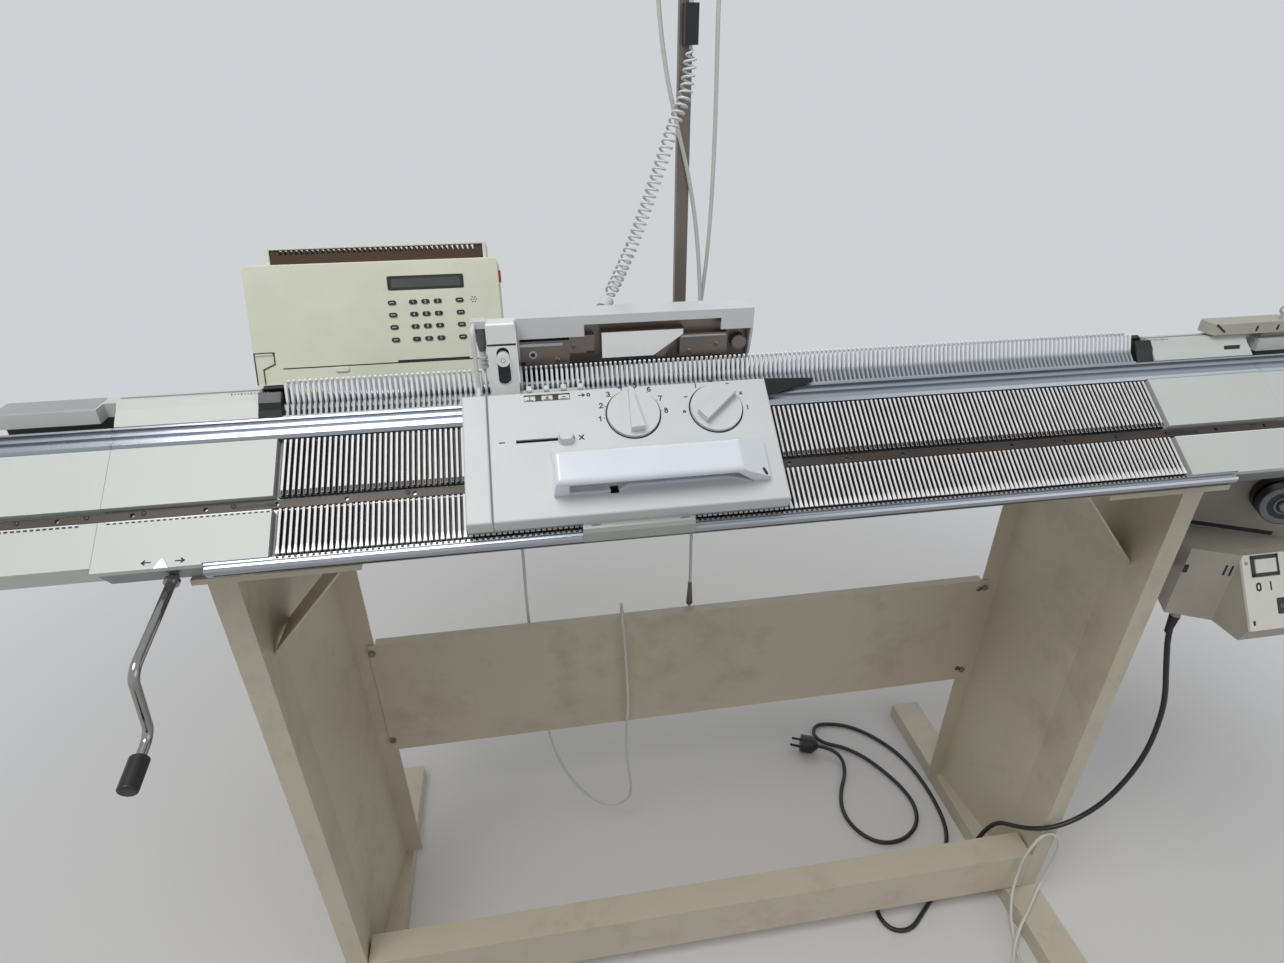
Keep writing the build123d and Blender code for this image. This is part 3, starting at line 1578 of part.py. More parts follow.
with BuildPart() as motor_housing:
    with BuildSketch(Plane.XY.offset(motor_low_z)):
        Polygon(*casing_plan, align=None)
    extrude(amount=motor_mid_z - motor_low_z)
    with BuildSketch(Plane.XY.offset(motor_mid_z)):
        Polygon(
            motor_xy(0, motor_step),
            motor_xy(motor_width - 10, motor_step),
            motor_xy(motor_width - 10, motor_depth),
            motor_xy(0, motor_depth),
            align=None,
        )
    extrude(amount=motor_top_z - motor_mid_z)
    with BuildSketch(Plane.XY.offset(motor_low_z + motor_wall)):
        Polygon(
            motor_xy(motor_wall, motor_step),
            motor_xy(motor_width - 10 - motor_wall, motor_step),
            motor_xy(motor_width - 10 - motor_wall, motor_depth + 1),
            motor_xy(motor_wall, motor_depth + 1),
            align=None,
        )
    extrude(amount=motor_mid_z - motor_low_z - 2 * motor_wall, mode=Mode.SUBTRACT)
    with BuildSketch(Plane.XY.offset(motor_mid_z)):
        Polygon(
            motor_xy(motor_wall, motor_step + motor_wall),
            motor_xy(motor_width - 10 - motor_wall, motor_step + motor_wall),
            motor_xy(motor_width - 10 - motor_wall, motor_depth + 1),
            motor_xy(motor_wall, motor_depth + 1),
            align=None,
        )
    extrude(amount=motor_top_z - motor_mid_z - motor_wall, mode=Mode.SUBTRACT)
    with BuildSketch(yz_plane(plate_left_x)):
        Polygon(
            (plate_top_y, plate_top_z),
            (plate_low_y, plate_low_z),
            (plate_low_y + 6, motor_low_z),
            (plate_top_y + 9, motor_low_z),
            (plate_top_y + 9, plate_top_z),
            align=None,
        )
    extrude(amount=plate_width)
    with BuildSketch(plate_plane):
        with Locations((0, -plate_length / 2)):
            Rectangle(plate_width - 2 * motor_wall, plate_length - 2 * motor_wall)
    extrude(amount=-switch_floor, mode=Mode.SUBTRACT)
    with BuildSketch(Plane.XY.offset(bracket_low_z)):
        Polygon(
            (bracket_front.X, bracket_front.Y),
            (bracket_rear.X, bracket_rear.Y),
            motor_xy(1, motor_depth - 25),
            motor_xy(1, motor_depth - 65),
            align=None,
        )
    extrude(amount=arm_sheet)
    with BuildSketch(Plane.XY.offset(motor_cord_start.Z)):
        with Locations((motor_cord_start.X, motor_cord_start.Y)):
            Circle(motor_gland_radius)
    extrude(amount=motor_low_z - motor_cord_start.Z)
    pulley_origin = Vector(*motor_xy(pulley_u, motor_step), pulley_z)
    with BuildSketch(Plane(origin=pulley_origin, x_dir=motor_across, z_dir=-motor_back)):
        Circle(dial_shaft_radius + shaft_clearance)
    extrude(amount=-motor_wall, mode=Mode.SUBTRACT)
keep("motor_housing", motor_housing)

with BuildPart() as motor_pulley:
    pulley_plane = Plane(origin=pulley_origin, x_dir=motor_across, z_dir=-motor_back)
    with BuildSketch(pulley_plane.offset(-motor_wall - 6)):
        Circle(dial_shaft_radius)
    extrude(amount=motor_wall + 8)
    with BuildSketch(pulley_plane.offset(2)):
        Circle(pulley_radius)
    extrude(amount=pulley_depth)
    groove_plane = pulley_plane.offset(2 + pulley_depth / 2 - 3)
    with BuildSketch(groove_plane):
        Circle(pulley_radius + 1)
        Circle(pulley_radius - 4, mode=Mode.SUBTRACT)
    extrude(amount=6, mode=Mode.SUBTRACT)
keep("motor_pulley", motor_pulley)

with BuildPart() as motor_switch_plate:
    with BuildSketch(plate_plane):
        with Locations((0, -plate_length / 2)):
            Rectangle(plate_width, plate_length)
        with Locations((rocker_u, rocker_v)):
            Rectangle(
                rocker_width + 2 * rocker_clearance,
                rocker_height + 2 * rocker_clearance,
                mode=Mode.SUBTRACT,
            )
    extrude(amount=plate_thick)
keep("motor_switch_plate", motor_switch_plate)

with BuildPart() as motor_rocker:
    with BuildSketch(plate_plane.offset(plate_thick + 2)):
        with Locations((rocker_u, rocker_v)):
            Rectangle(rocker_width, rocker_height)
    extrude(amount=-plate_thick - 2 - 3)
    rocker_pin = plate_plane.from_local_coords(
        (rocker_u - rocker_width / 2 - pin_length, rocker_v, plate_thick / 2)
    )
    with BuildSketch(Plane(origin=rocker_pin, z_dir=(1, 0, 0))):
        Circle(pin_radius)
    extrude(amount=rocker_width + 2 * pin_length)
keep("motor_rocker", motor_rocker)

# Cables of the mast, the console, the motor and the foot
plug_width = 14.0
plug_depth = 14.0
plug_height = 36.0
joint_length = 40.0
joint_radius = 5.0
joint_neck = 2.8
plug_neck_radius = 6.0
plug_neck_length = 12.0
plug_shoulder = 17.0
plug_body_length = 22.0
plug_pin_radius = 2.4
plug_pin_length = 19.0
plug_pin_offset = 9.5
mast_front_y = mast_y - mast_depth / 2
coil_end = Vector(*lock_cord_points[-1])
plug_top_z = coil_end.Z + plug_height
mast_cable_points = [
    (-28, 147, plug_top_z),
    (-28, 147, 1283),
    (-33, 148, 1297),
    (-45, 149, 1302),
    (-57, 150, 1297),
    (-62, 151, 1284),
    (-61, 152, 1256),
    (-57, 152.6, 1222),
    (-50, 152.6, 1183),
    (-38, 152.6, 1138),
    (-24, 152, 1088),
    (-14, 152, 1034),
    (-8, 152, 975),
    (-5, 153, 915),
    (-3, 154, 853),
    (-2, 155, 790),
    (-2, 156, 727),
    (-3, 157, 665),
    (-6, 158, 606),
    (-5, 158, 563),
    (-5, 158, 525),
]
side_cable_points = [
    (mast_x + mast_width / 2, 160, 1312),
    (-11, 160, 1312),
    (0, 160, 1301),
    (4, 160, 1282),
    (3, 160, 1250),
    (4, 160, 1203),
    (5, 160, 1142),
    (5, 161, 1080),
    (3, 161, 1018),
    (-2, 160, 962),
    (-9, 159, 910),
    (-15, 158, 864),
    (-21, 157, 829),
    (-21, 157, bracket_edge[1]),
]
foot_cable_points = [
    (438, -226, 3),
    (450, -190, 3),
    (460, -157, 6),
    (467, -129, 24),
    (477, -107, 52),
    (483, -100, 82),
    (482, -99, 112),
    (488, -99, 144),
    (504, -95.3, 167),
    (524, -95.3, 167),
    (538, -99, 147),
    (541, -99, 112),
    (537, -100, 76),
    (525, -106, 47),
    (508, -120, 40),
    (487, -137, 41),
    (466, -152, 31),
    (450, -170, 11),
    (433, -196, 3),
    (414, -222, 3),
]
keep_cord("lock_cord", lock_cord_points, lock_cord_radius)
keep_cord("mast_cable", mast_cable_points, white_cord_radius)
keep_cord("side_cable", side_cable_points, white_cord_radius)
keep_cord("console_cable", console_cable_points, white_cord_radius)
keep_cord("motor_cord", motor_cord_points, power_cord_radius)
keep_cord("foot_cable", foot_cable_points, white_cord_radius)

with BuildPart() as lock_cord_plug:
    with BuildSketch(Plane.XY.offset(coil_end.Z)):
        with Locations((coil_end.X, mast_front_y - plug_depth / 2)):
            Rectangle(plug_width, plug_depth)
    extrude(amount=plug_height)
keep("lock_cord_plug", lock_cord_plug)

cable_end = Vector(*mast_cable_points[-1])
with BuildPart() as cable_joint:
    with BuildSketch(Plane.XY.offset(cable_end.Z)):
        with Locations((cable_end.X, cable_end.Y)):
            Circle(joint_neck)
    with BuildSketch(Plane.XY.offset(cable_end.Z - joint_length)):
        with Locations((cable_end.X, cable_end.Y)):
            Circle(joint_radius)
    loft()
keep("cable_joint", cable_joint)

# Mains plug on the floor: a round body with a neck and two pins
plug_end = Vector(*motor_cord_points[-1])
plug_axis = (plug_end - Vector(*motor_cord_points[-2])).normalized()
plug_body = plug_end + plug_axis * plug_neck_length
plug_face = plug_body + plug_axis * plug_body_length
with BuildPart() as motor_plug:
    with BuildSketch(Plane(origin=plug_end, z_dir=plug_axis)):
        Circle(plug_neck_radius)
    with BuildSketch(Plane(origin=plug_body, z_dir=plug_axis)):
        Circle(plug_shoulder)
    loft()
    with BuildSketch(Plane(origin=plug_body, z_dir=plug_axis)):
        Circle(plug_shoulder)
    extrude(amount=plug_body_length)
    with BuildSketch(Plane(origin=plug_face, z_dir=plug_axis)):
        with Locations((0, -plug_pin_offset), (0, plug_pin_offset)):
            Circle(plug_pin_radius)
    extrude(amount=plug_pin_length)
keep("motor_plug", motor_plug)

for label, shape in pieces.items():
    export_step(shape, f"parts/{label}.step")
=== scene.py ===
import bmesh
import bpy
from math import cos, pi, radians, sin
from mathutils import Matrix, Vector


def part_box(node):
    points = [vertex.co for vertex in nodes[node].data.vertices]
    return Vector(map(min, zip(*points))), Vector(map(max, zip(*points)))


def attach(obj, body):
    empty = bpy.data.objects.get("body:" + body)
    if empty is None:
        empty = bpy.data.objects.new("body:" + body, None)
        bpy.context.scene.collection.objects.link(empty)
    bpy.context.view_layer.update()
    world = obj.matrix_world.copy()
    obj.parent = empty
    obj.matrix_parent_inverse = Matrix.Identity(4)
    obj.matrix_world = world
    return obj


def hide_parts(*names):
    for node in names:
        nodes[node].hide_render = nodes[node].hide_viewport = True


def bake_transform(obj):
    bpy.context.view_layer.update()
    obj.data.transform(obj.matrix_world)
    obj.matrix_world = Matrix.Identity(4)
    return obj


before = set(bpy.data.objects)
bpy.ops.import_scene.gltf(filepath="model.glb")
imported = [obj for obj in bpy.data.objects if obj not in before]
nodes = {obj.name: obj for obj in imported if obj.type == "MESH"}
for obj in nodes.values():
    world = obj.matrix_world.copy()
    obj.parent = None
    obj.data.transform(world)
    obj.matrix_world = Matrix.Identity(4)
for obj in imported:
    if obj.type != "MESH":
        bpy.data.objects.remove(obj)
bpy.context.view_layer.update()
MM = 0.001
CORNERS = ((-1, -1), (1, -1), (1, 1), (-1, 1))

# Places on the beds, as in the solid model. Side 1 is the front bed and -1 the back bed,
# x runs along the bed, s up its slope and h out of its face, all in millimetres
SLOPE = radians(37)
slope_c = cos(SLOPE)
slope_s = sin(SLOPE)
RIDGE_Y = -6.0
LINE_OUT = 102
LINE_Z = 850.0


def bed(side, x, s, h):
    y = RIDGE_Y - side * (LINE_OUT - s * slope_c + h * slope_s)
    return Vector((x, y, LINE_Z + s * slope_s + h * slope_c)) * MM


def bed_frame(side, x, s, h):
    m = Matrix((
        (side, 0, 0),
        (0, side * slope_c, -side * slope_s),
        (0, slope_s, slope_c),
    )).to_4x4()
    m.translation = bed(side, x, s, h)
    return m


# A frame on any other face: x level, y up the face and z out of it
def face_frame(origin, normal):
    z = Vector(normal).normalized()
    x = Vector((0, 0, 1)).cross(z).normalized()
    y = z.cross(x)
    m = Matrix((x, y, z)).transposed().to_4x4()
    m.translation = Vector(origin) * MM
    return m


FRONT = bed_frame(1, 0, 0, 0)
CONSOLE_LEAN = radians(20)
CONSOLE = face_frame((-399.5, 171, 856), (0, -cos(CONSOLE_LEAN), sin(CONSOLE_LEAN)))
SWITCH = face_frame((635, -112, 690), (0, -0.842, 0.539))
PLAN = Matrix.Identity(4)

# The motor stands askew: its front face starts at this corner, and its depth runs this way
MOTOR_X, MOTOR_Y = 549, -93
MOTOR_DX, MOTOR_DY = 0.454, 0.891
MOTOR_DEPTH = 110


def facing(y):
    return face_frame((0, y, 0), (0, -1, 0))


def upright(x, y):
    return Matrix.Translation(Vector((x, y, 0)) * MM)


def motor_face(depth, out=-1):
    origin = (MOTOR_X + MOTOR_DX * depth, MOTOR_Y + MOTOR_DY * depth, 0)
    return face_frame(origin, (out * MOTOR_DX, out * MOTOR_DY, 0))


# Materials
DARK = (0.012, 0.012, 0.013)


def links(mat):
    return mat.node_tree.nodes, mat.node_tree.links


def mix_colour(nd, ln, factor, a, b):
    mix = nd.new("ShaderNodeMix")
    mix.data_type = "RGBA"
    ln.new(factor, mix.inputs[0])
    for k, v in ((6, a), (7, b)):
        if hasattr(v, "is_output"):
            ln.new(v, mix.inputs[k])
        else:
            mix.inputs[k].default_value = (*v, 1)
    return mix.outputs[2]


def ramp(nd, ln, value, low, high, start=0.0, end=1.0):
    node = nd.new("ShaderNodeMapRange")
    ln.new(value, node.inputs[0])
    node.inputs[1].default_value = low
    node.inputs[2].default_value = high
    node.inputs[3].default_value = start
    node.inputs[4].default_value = end
    return node.outputs[0]


def noise(nd, ln, scale, detail=4.0, stretch=(1, 1, 1), rough=0.55):
    coords = nd.new("ShaderNodeTexCoord")
    mapping = nd.new("ShaderNodeMapping")
    mapping.inputs["Scale"].default_value = stretch
    ln.new(coords.outputs["Object"], mapping.inputs[0])
    tex = nd.new("ShaderNodeTexNoise")
    tex.inputs["Scale"].default_value = scale
    tex.inputs["Detail"].default_value = detail
    tex.inputs["Roughness"].default_value = rough
    ln.new(mapping.outputs[0], tex.inputs["Vector"])
    return tex.outputs["Fac"]


# How far a point lies along a direction, in metres
def axis_value(nd, ln, direction, origin):
    coords = nd.new("ShaderNodeTexCoord")
    sub = nd.new("ShaderNodeVectorMath")
    sub.operation = "SUBTRACT"
    ln.new(coords.outputs["Object"], sub.inputs[0])
    sub.inputs[1].default_value = origin
    dot = nd.new("ShaderNodeVectorMath")
    dot.operation = "DOT_PRODUCT"
    ln.new(sub.outputs[0], dot.inputs[0])
    dot.inputs[1].default_value = direction
    return dot.outputs["Value"]


def math_node(nd, ln, op, a, b=0.0):
    node = nd.new("ShaderNodeMath")
    node.operation = op
    for k, v in enumerate((a, b)):
        if hasattr(v, "is_output"):
            ln.new(v, node.inputs[k])
        else:
            node.inputs[k].default_value = v
    return node.outputs[0]


# A shader with a cloudy tint and gloss, a fine grain, and soil in patches where it is asked for
def surface(
    name, colour, rough=0.5, metal=0.0, vary=0.06, vary_scale=14.0, grain=900.0, bump=0.08,
    soil=None, soil_amount=0.0, soil_scale=6.0, coat=0.0, stretch=(1, 1, 1), spread=0.08,
    colour_out=None,
):
    mat = bpy.data.materials.new(name)
    mat.use_nodes = True
    nd, ln = links(mat)
    shader = nd["Principled BSDF"]
    shader.inputs["Metallic"].default_value = metal
    shader.inputs["Coat Weight"].default_value = coat
    shader.inputs["Coat Roughness"].default_value = 0.12
    cloud = noise(nd, ln, vary_scale, 5.0, stretch)
    dark = tuple(c * (1 - vary) for c in colour)
    light = tuple(min(1.0, c * (1 + vary * 0.6)) for c in colour)
    tint = mix_colour(nd, ln, ramp(nd, ln, cloud, 0.35, 0.65), dark, light)
    if colour_out:
        tint = colour_out(nd, ln, tint)
    if soil:
        blots = noise(nd, ln, soil_scale, 8.0, (1, 1, 1), 0.7)
        patch = ramp(nd, ln, blots, 0.52, 0.75, 0, soil_amount)
        tint = mix_colour(nd, ln, patch, tint, soil)
    ln.new(tint, shader.inputs["Base Color"])
    fine = noise(nd, ln, grain, 3.0, stretch)
    gloss = ramp(nd, ln, cloud, 0.3, 0.7, rough - spread, rough + spread)
    ln.new(gloss, shader.inputs["Roughness"])
    lump = nd.new("ShaderNodeBump")
    lump.inputs["Strength"].default_value = bump
    lump.inputs["Distance"].default_value = 0.0004
    ln.new(fine, lump.inputs["Height"])
    ln.new(lump.outputs[0], shader.inputs["Normal"])
    return mat


# Painted shade, near black, between the ribs of the needle field, with the tint kept on top of them
def rib_gap_painted_shade(side):
    normal = (0, -side * slope_s, slope_c)
    base = bed(side, 0, 0, 0)

    def colour(nd, ln, tint):
        h = axis_value(nd, ln, normal, base)
        across = math_node(nd, ln, "ABSOLUTE", axis_value(nd, ln, (1, 0, 0), (0, 0, 0)))
        field = ramp(nd, ln, across, 0.4489, 0.4494, 1, 0)
        below_tops = ramp(nd, ln, h, -0.0014, -0.0004, 1, 0)
        above_floor = ramp(nd, ln, h, -0.012, -0.009, 0, 1)
        # Painted shade fills the depth between the rib tops and the floor
        painted_shade_depth = math_node(nd, ln, "MULTIPLY", below_tops, above_floor)
        return mix_colour(nd, ln, math_node(nd, ln, "MULTIPLY", painted_shade_depth, field), tint, DARK)

    return colour


# Bright tips and grey fingers along the comb, with painted shade darkening its root
def comb_tone_painted_shade(side):
    base = bed(side, 0, 0, 0)
    along = (0, side * slope_c, slope_s)
    normal = (0, -side * slope_s, slope_c)

    def colour(nd, ln, tint):
        s = axis_value(nd, ln, along, base)
        h = axis_value(nd, ln, normal, base)
        tip = ramp(nd, ln, s, 0.112, 0.116, 0, 1)
        tone = mix_colour(nd, ln, tip, (0.36, 0.39, 0.43), (0.82, 0.85, 0.88))
        # Painted shade: near black low down at the comb's root
        low = ramp(nd, ln, h, -0.0065, -0.0035, 0, 1)
        return mix_colour(nd, ln, low, (0.02, 0.025, 0.03), tone)

    return colour


paint_cream = surface("paint_cream", (0.565, 0.51, 0.40), 0.42, vary=0.06, vary_scale=4, grain=420,
                      bump=0.14, soil=(0.20, 0.155, 0.10), soil_amount=0.35, soil_scale=11)
bed_metal = surface("bed_metal", (0.30, 0.30, 0.31), 0.42, metal=0.9, stretch=(0.05, 1, 1), grain=600)
rail_metal = surface("rail_metal", (0.41, 0.435, 0.475), 0.24, metal=0.9, stretch=(0.03, 1, 1), grain=700)
strip_brown = surface("strip_brown", (0.058, 0.048, 0.042), 0.45, metal=0.3, stretch=(0.2, 1, 1),
                      vary=0.3, vary_scale=40, soil=(0.035, 0.026, 0.02), soil_amount=0.6, soil_scale=30)
# The slots' white carries painted shade between the ribs
slot_front_painted_shade = surface("slot_front_painted_shade", (0.80, 0.80, 0.79), 0.38, colour_out=rib_gap_painted_shade(1), bump=0.03,
                     vary=0.12, vary_scale=60)
slot_back_painted_shade = surface("slot_back_painted_shade", (0.68, 0.68, 0.68), 0.38, colour_out=rib_gap_painted_shade(-1), bump=0.03,
                    vary=0.12, vary_scale=60)
comb_front_painted_shade = surface("comb_front_painted_shade", (0.6, 0.65, 0.7), 0.35, colour_out=comb_tone_painted_shade(1), bump=0.03)
comb_back_painted_shade = surface("comb_back_painted_shade", (0.6, 0.65, 0.7), 0.35, colour_out=comb_tone_painted_shade(-1), bump=0.03)
panel_white = surface("panel_white", (0.60, 0.63, 0.61), 0.42, vary=0.03, vary_scale=4, grain=1500,
                      bump=0.10, soil=(0.46, 0.46, 0.42), soil_amount=0.3, soil_scale=5)
black_plastic = surface("black_plastic", DARK, 0.42, vary=0.3, bump=0.05)
lock_plastic = surface("lock_plastic", (0.625, 0.65, 0.65), 0.40, vary=0.02, vary_scale=7, grain=1800,
                       bump=0.12, soil=(0.55, 0.57, 0.58), soil_amount=0.3, soil_scale=9)
handle_gloss = surface("handle_gloss", (0.76, 0.79, 0.86), 0.16, vary=0.015, bump=0.015, coat=0.4)
plate_steel = surface("plate_steel", (0.21, 0.18, 0.158), 0.34, metal=0.85, vary=0.25, vary_scale=18,
                      stretch=(0.2, 1, 1))


# The arm at the right end of the lock's frame is dark
def dark_arm(nd, ln, tint):
    x = axis_value(nd, ln, (1, 0, 0), (0, 0, 0))
    return mix_colour(nd, ln, ramp(nd, ln, x, 0.0135, 0.0145, 0, 1), tint, DARK)


guide_grey = surface("guide_grey", (0.36, 0.375, 0.35), 0.40, metal=0.4, vary=0.08, vary_scale=9,
                     colour_out=dark_arm)
chrome = surface("chrome", (0.36, 0.35, 0.34), 0.14, metal=1.0, vary=0.06, bump=0.01, spread=0.04)
console_cream = surface("console_cream", (0.72, 0.735, 0.60), 0.45, vary=0.03, grain=1400, bump=0.1,
                        soil=(0.58, 0.56, 0.42), soil_amount=0.35, soil_scale=6)
tray_brown = surface("tray_brown", (0.052, 0.022, 0.006), 0.62, vary=0.2, bump=0.05)
red_gloss = surface("red_gloss", (0.60, 0.03, 0.02), 0.25, vary=0.1, bump=0.02)
# The motor's grey is darker than its own light grey: painted shade for the shadow it stands in
motor_grey = surface("motor_grey", (0.37, 0.345, 0.295), 0.4, vary=0.05, grain=500, bump=0.12,
                     soil=(0.20, 0.19, 0.16), soil_amount=0.25, soil_scale=9)
switch_white = surface("switch_white", (0.66, 0.66, 0.60), 0.3, vary=0.03, bump=0.03)
mast_bronze = surface("mast_bronze", (0.20, 0.172, 0.152), 0.36, metal=0.7, vary=0.18, vary_scale=20,
                      stretch=(1, 1, 0.08))
cable_white = surface("cable_white", (0.62, 0.62, 0.58), 0.4, vary=0.05, bump=0.03)
cable_black = surface("cable_black", (0.014, 0.014, 0.016), 0.42, vary=0.3, bump=0.04)
coil_white = surface("coil_white", (0.68, 0.69, 0.70), 0.32, vary=0.04, bump=0.02)
cable_grey = surface("cable_grey", (0.17, 0.145, 0.125), 0.5, vary=0.12, bump=0.06)
bright_white = surface("bright_white", (0.90, 0.90, 0.90), 0.24, vary=0.02, bump=0.02, coat=0.2)
post_metal = surface("post_metal", (0.80, 0.81, 0.80), 0.30, metal=0.15, vary=0.04, bump=0.03)
lid_grey = surface("lid_grey", (0.37, 0.378, 0.39), 0.42, vary=0.07, vary_scale=9, grain=1200, bump=0.08)
changer_cream = surface("changer_cream", (0.45, 0.435, 0.375), 0.42, vary=0.05, vary_scale=12, grain=1200,
                        bump=0.08, soil=(0.22, 0.21, 0.18), soil_amount=0.3, soil_scale=25)
screen_glass = surface("screen_glass", (0.055, 0.062, 0.058), 0.14, vary=0.12, vary_scale=20, bump=0.0,
                       coat=0.6)
# Near black for print, also used for painted shadow and painted shade
ink = surface("ink", (0.014, 0.014, 0.015), 0.5, vary=0.2, vary_scale=90, bump=0.02)
ink_grey = surface("ink_grey", (0.16, 0.165, 0.17), 0.5, vary=0.2, vary_scale=90, bump=0.02)

finishes = {
    paint_cream: "left_leg right_leg foot_bars front_beam back_panel bed_supports console_arm",
    bed_metal: "front_bed_body",
    slot_back_painted_shade: "back_bed_body",
    rail_metal: "front_rail upper_rail back_rails",
    strip_brown: "steel_strip",
    slot_front_painted_shade: "front_slots",
    comb_front_painted_shade: "front_comb",
    comb_back_painted_shade: "back_comb",
    panel_white: "end_panels run_outs back_end_covers",
    changer_cream: "yarn_changer",
    black_plastic: "front_end_blocks back_end_blocks crank_knob motor_pulley console_keypad "
                   "motor_plug lock_cord_plug",
    cable_grey: "cable_joint",
    lock_plastic: "lock_cover lock_end_cover back_lock_cover stitch_dial pattern_dial slide_lever "
                  "yarn_feeder push_button_1 push_button_2 push_button_3 push_button_4",
    handle_gloss: "lock_handle",
    post_metal: "bridge_post bridge_knob racking_pointer",
    guide_grey: "lock_frame",
    plate_steel: "back_lock_plates",
    chrome: "crank_rod stand_screws",
    console_cream: "console_case",
    tray_brown: "console_tray",
    red_gloss: "console_switch",
    motor_grey: "motor_housing",
    switch_white: "motor_switch_plate motor_rocker",
    mast_bronze: "mast",
}
for mat, names in finishes.items():
    for name in names.split():
        mesh = nodes[name].data
        mesh.materials.clear()
        mesh.materials.append(mat)


# Cords: smooth curves with the route's points as control points
def route_curve(name, points, radius):
    curve = bpy.data.curves.new(name, "CURVE")
    curve.dimensions = "3D"
    spline = curve.splines.new("NURBS")
    spline.points.add(len(points) - 1)
    for p, q in zip(spline.points, points):
        p.co = (q[0] * MM, q[1] * MM, q[2] * MM, 1)
    spline.order_u = 3
    spline.use_endpoint_u = True
    spline.resolution_u = 10
    curve.bevel_depth = radius * MM
    curve.bevel_resolution = 6
    obj = bpy.data.objects.new(name, curve)
    bpy.context.scene.collection.objects.link(obj)
    return obj


def route_line(points):
    obj = route_curve("route_line", points, 0)
    bpy.context.view_layer.update()
    deps = bpy.context.evaluated_depsgraph_get()
    mesh = bpy.data.meshes.new_from_object(obj.evaluated_get(deps))
    line = [v.co.copy() for v in mesh.vertices]
    bpy.data.objects.remove(obj)
    return line


def line_length(line):
    return sum((b - a).length for a, b in zip(line, line[1:]))


def free_cord(name, node, points, radius, mat, body):
    obj = route_curve(name, points, radius)
    obj.data.materials.append(mat)
    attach(obj, body)
    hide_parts(node)
    round(line_length(route_line(points)), 3)


# Routes in millimetres, the same points as the solid tubes
lock_cord_points = [
    (-130, 60, 982),
    (-104, 100, 1012),
    (-82, 112, 1060),
    (-61, 122, 1111),
    (-46, 132, 1147),
    (-28, 145, 1180),
    (-28, 145, 1216),
]
mast_cable_points = [
    (-28, 147, 1252),
    (-28, 147, 1283),
    (-33, 148, 1297),
    (-45, 149, 1302),
    (-57, 150, 1297),
    (-62, 151, 1284),
    (-61, 152, 1256),
    (-57, 152.6, 1222),
    (-50, 152.6, 1183),
    (-38, 152.6, 1138),
    (-24, 152, 1088),
    (-14, 152, 1034),
    (-8, 152, 975),
    (-5, 153, 915),
    (-3, 154, 853),
    (-2, 155, 790),
    (-2, 156, 727),
    (-3, 157, 665),
    (-6, 158, 606),
    (-5, 158, 563),
    (-5, 158, 525),
]
side_cable_points = [
    (-24, 160, 1312),
    (-11, 160, 1312),
    (0, 160, 1301),
    (4, 160, 1282),
    (3, 160, 1250),
    (4, 160, 1203),
    (5, 160, 1142),
    (5, 161, 1080),
    (3, 161, 1018),
    (-2, 160, 962),
    (-9, 159, 910),
    (-15, 158, 864),
    (-21, 157, 829),
    (-21, 157, 799.7),
]
console_cable_points = [
    (-5, 158, 485),
    (-5, 158, 458),
    (-20, 162, 428),
    (-48, 164, 411),
    (-80, 162, 422),
    (-101, 159, 450),
    (-109, 156, 480),
    (-111, 149, 505),
    (-113, 132, 514),
    (-114, 119, 501),
    (-112, 118, 474),
    (-110, 121, 440),
    (-108, 121, 385),
    (-106, 121, 325),
    (-111, 122, 268),
    (-111, 122, 212),
    (-106, 122, 160),
    (-103, 123, 118),
    (-112, 126, 89),
    (-136, 130, 78),
    (-162, 134, 88),
    (-186, 139, 114),
    (-208, 144, 153),
    (-225, 148, 203),
    (-235, 152, 260),
    (-240, 155, 320),
    (-243, 156, 382),
    (-248, 157, 445),
    (-249, 158, 508),
    (-248, 160, 570),
    (-247, 164, 632),
    (-250, 170, 692),
    (-257, 178, 750),
    (-266, 188, 800),
    (-272, 194, 832),
]
motor_cord_points = [
    (569, -92, 588),
    (569, -92, 563),
    (579, -101, 510),
    (599, -105, 447),
    (608, -105, 390),
    (609, -105, 338),
    (599, -105, 288),
    (577, -105, 240),
    (547, -103, 207),
    (512, -101, 190),
    (487, -88, 175),
    (478, -64, 152),
    (476, -38, 126),
    (470, -26, 90),
    (458, -26, 52),
    (438, -33, 20),
    (407, -49, 4),
    (372, -70, 4),
    (340, -94, 4),
    (310, -116, 4),
    (279, -113, 4),
    (266, -86, 4),
    (278, -58, 4),
    (308, -40, 4),
    (350, -30, 4),
    (398, -19, 4),
    (438, 5, 4),
    (459, 45, 4),
    (465, 97, 4),
    (463, 152, 4),
    (450, 206, 4),
    (421, 254, 4),
    (383, 290, 4),
    (342, 305, 4),
    (310, 306, 4),
    (296, 281, 4),
    (312, 257, 4),
    (346, 243, 4),
    (378, 213, 4),
    (402, 172, 4),
    (420, 130, 4),
    (424, 88, 4),
    (406, 52, 4),
    (368, 30, 4),
    (324, 32, 4),
    (294, 62, 4),
    (285, 104, 4),
    (300, 146, 4),
    (324, 180, 5),
    (331, 212, 10),
    (314, 234, 16),
    (290, 242, 18),
]
foot_cable_points = [
    (438, -226, 3),
    (450, -190, 3),
    (460, -157, 6),
    (467, -129, 24),
    (477, -107, 52),
    (483, -100, 82),
    (482, -99, 112),
    (488, -99, 144),
    (504, -95.3, 167),
    (524, -95.3, 167),
    (538, -99, 147),
    (541, -99, 112),
    (537, -100, 76),
    (525, -106, 47),
    (508, -120, 40),
    (487, -137, 41),
    (466, -152, 31),
    (450, -170, 11),
    (433, -196, 3),
    (414, -222, 3),
]

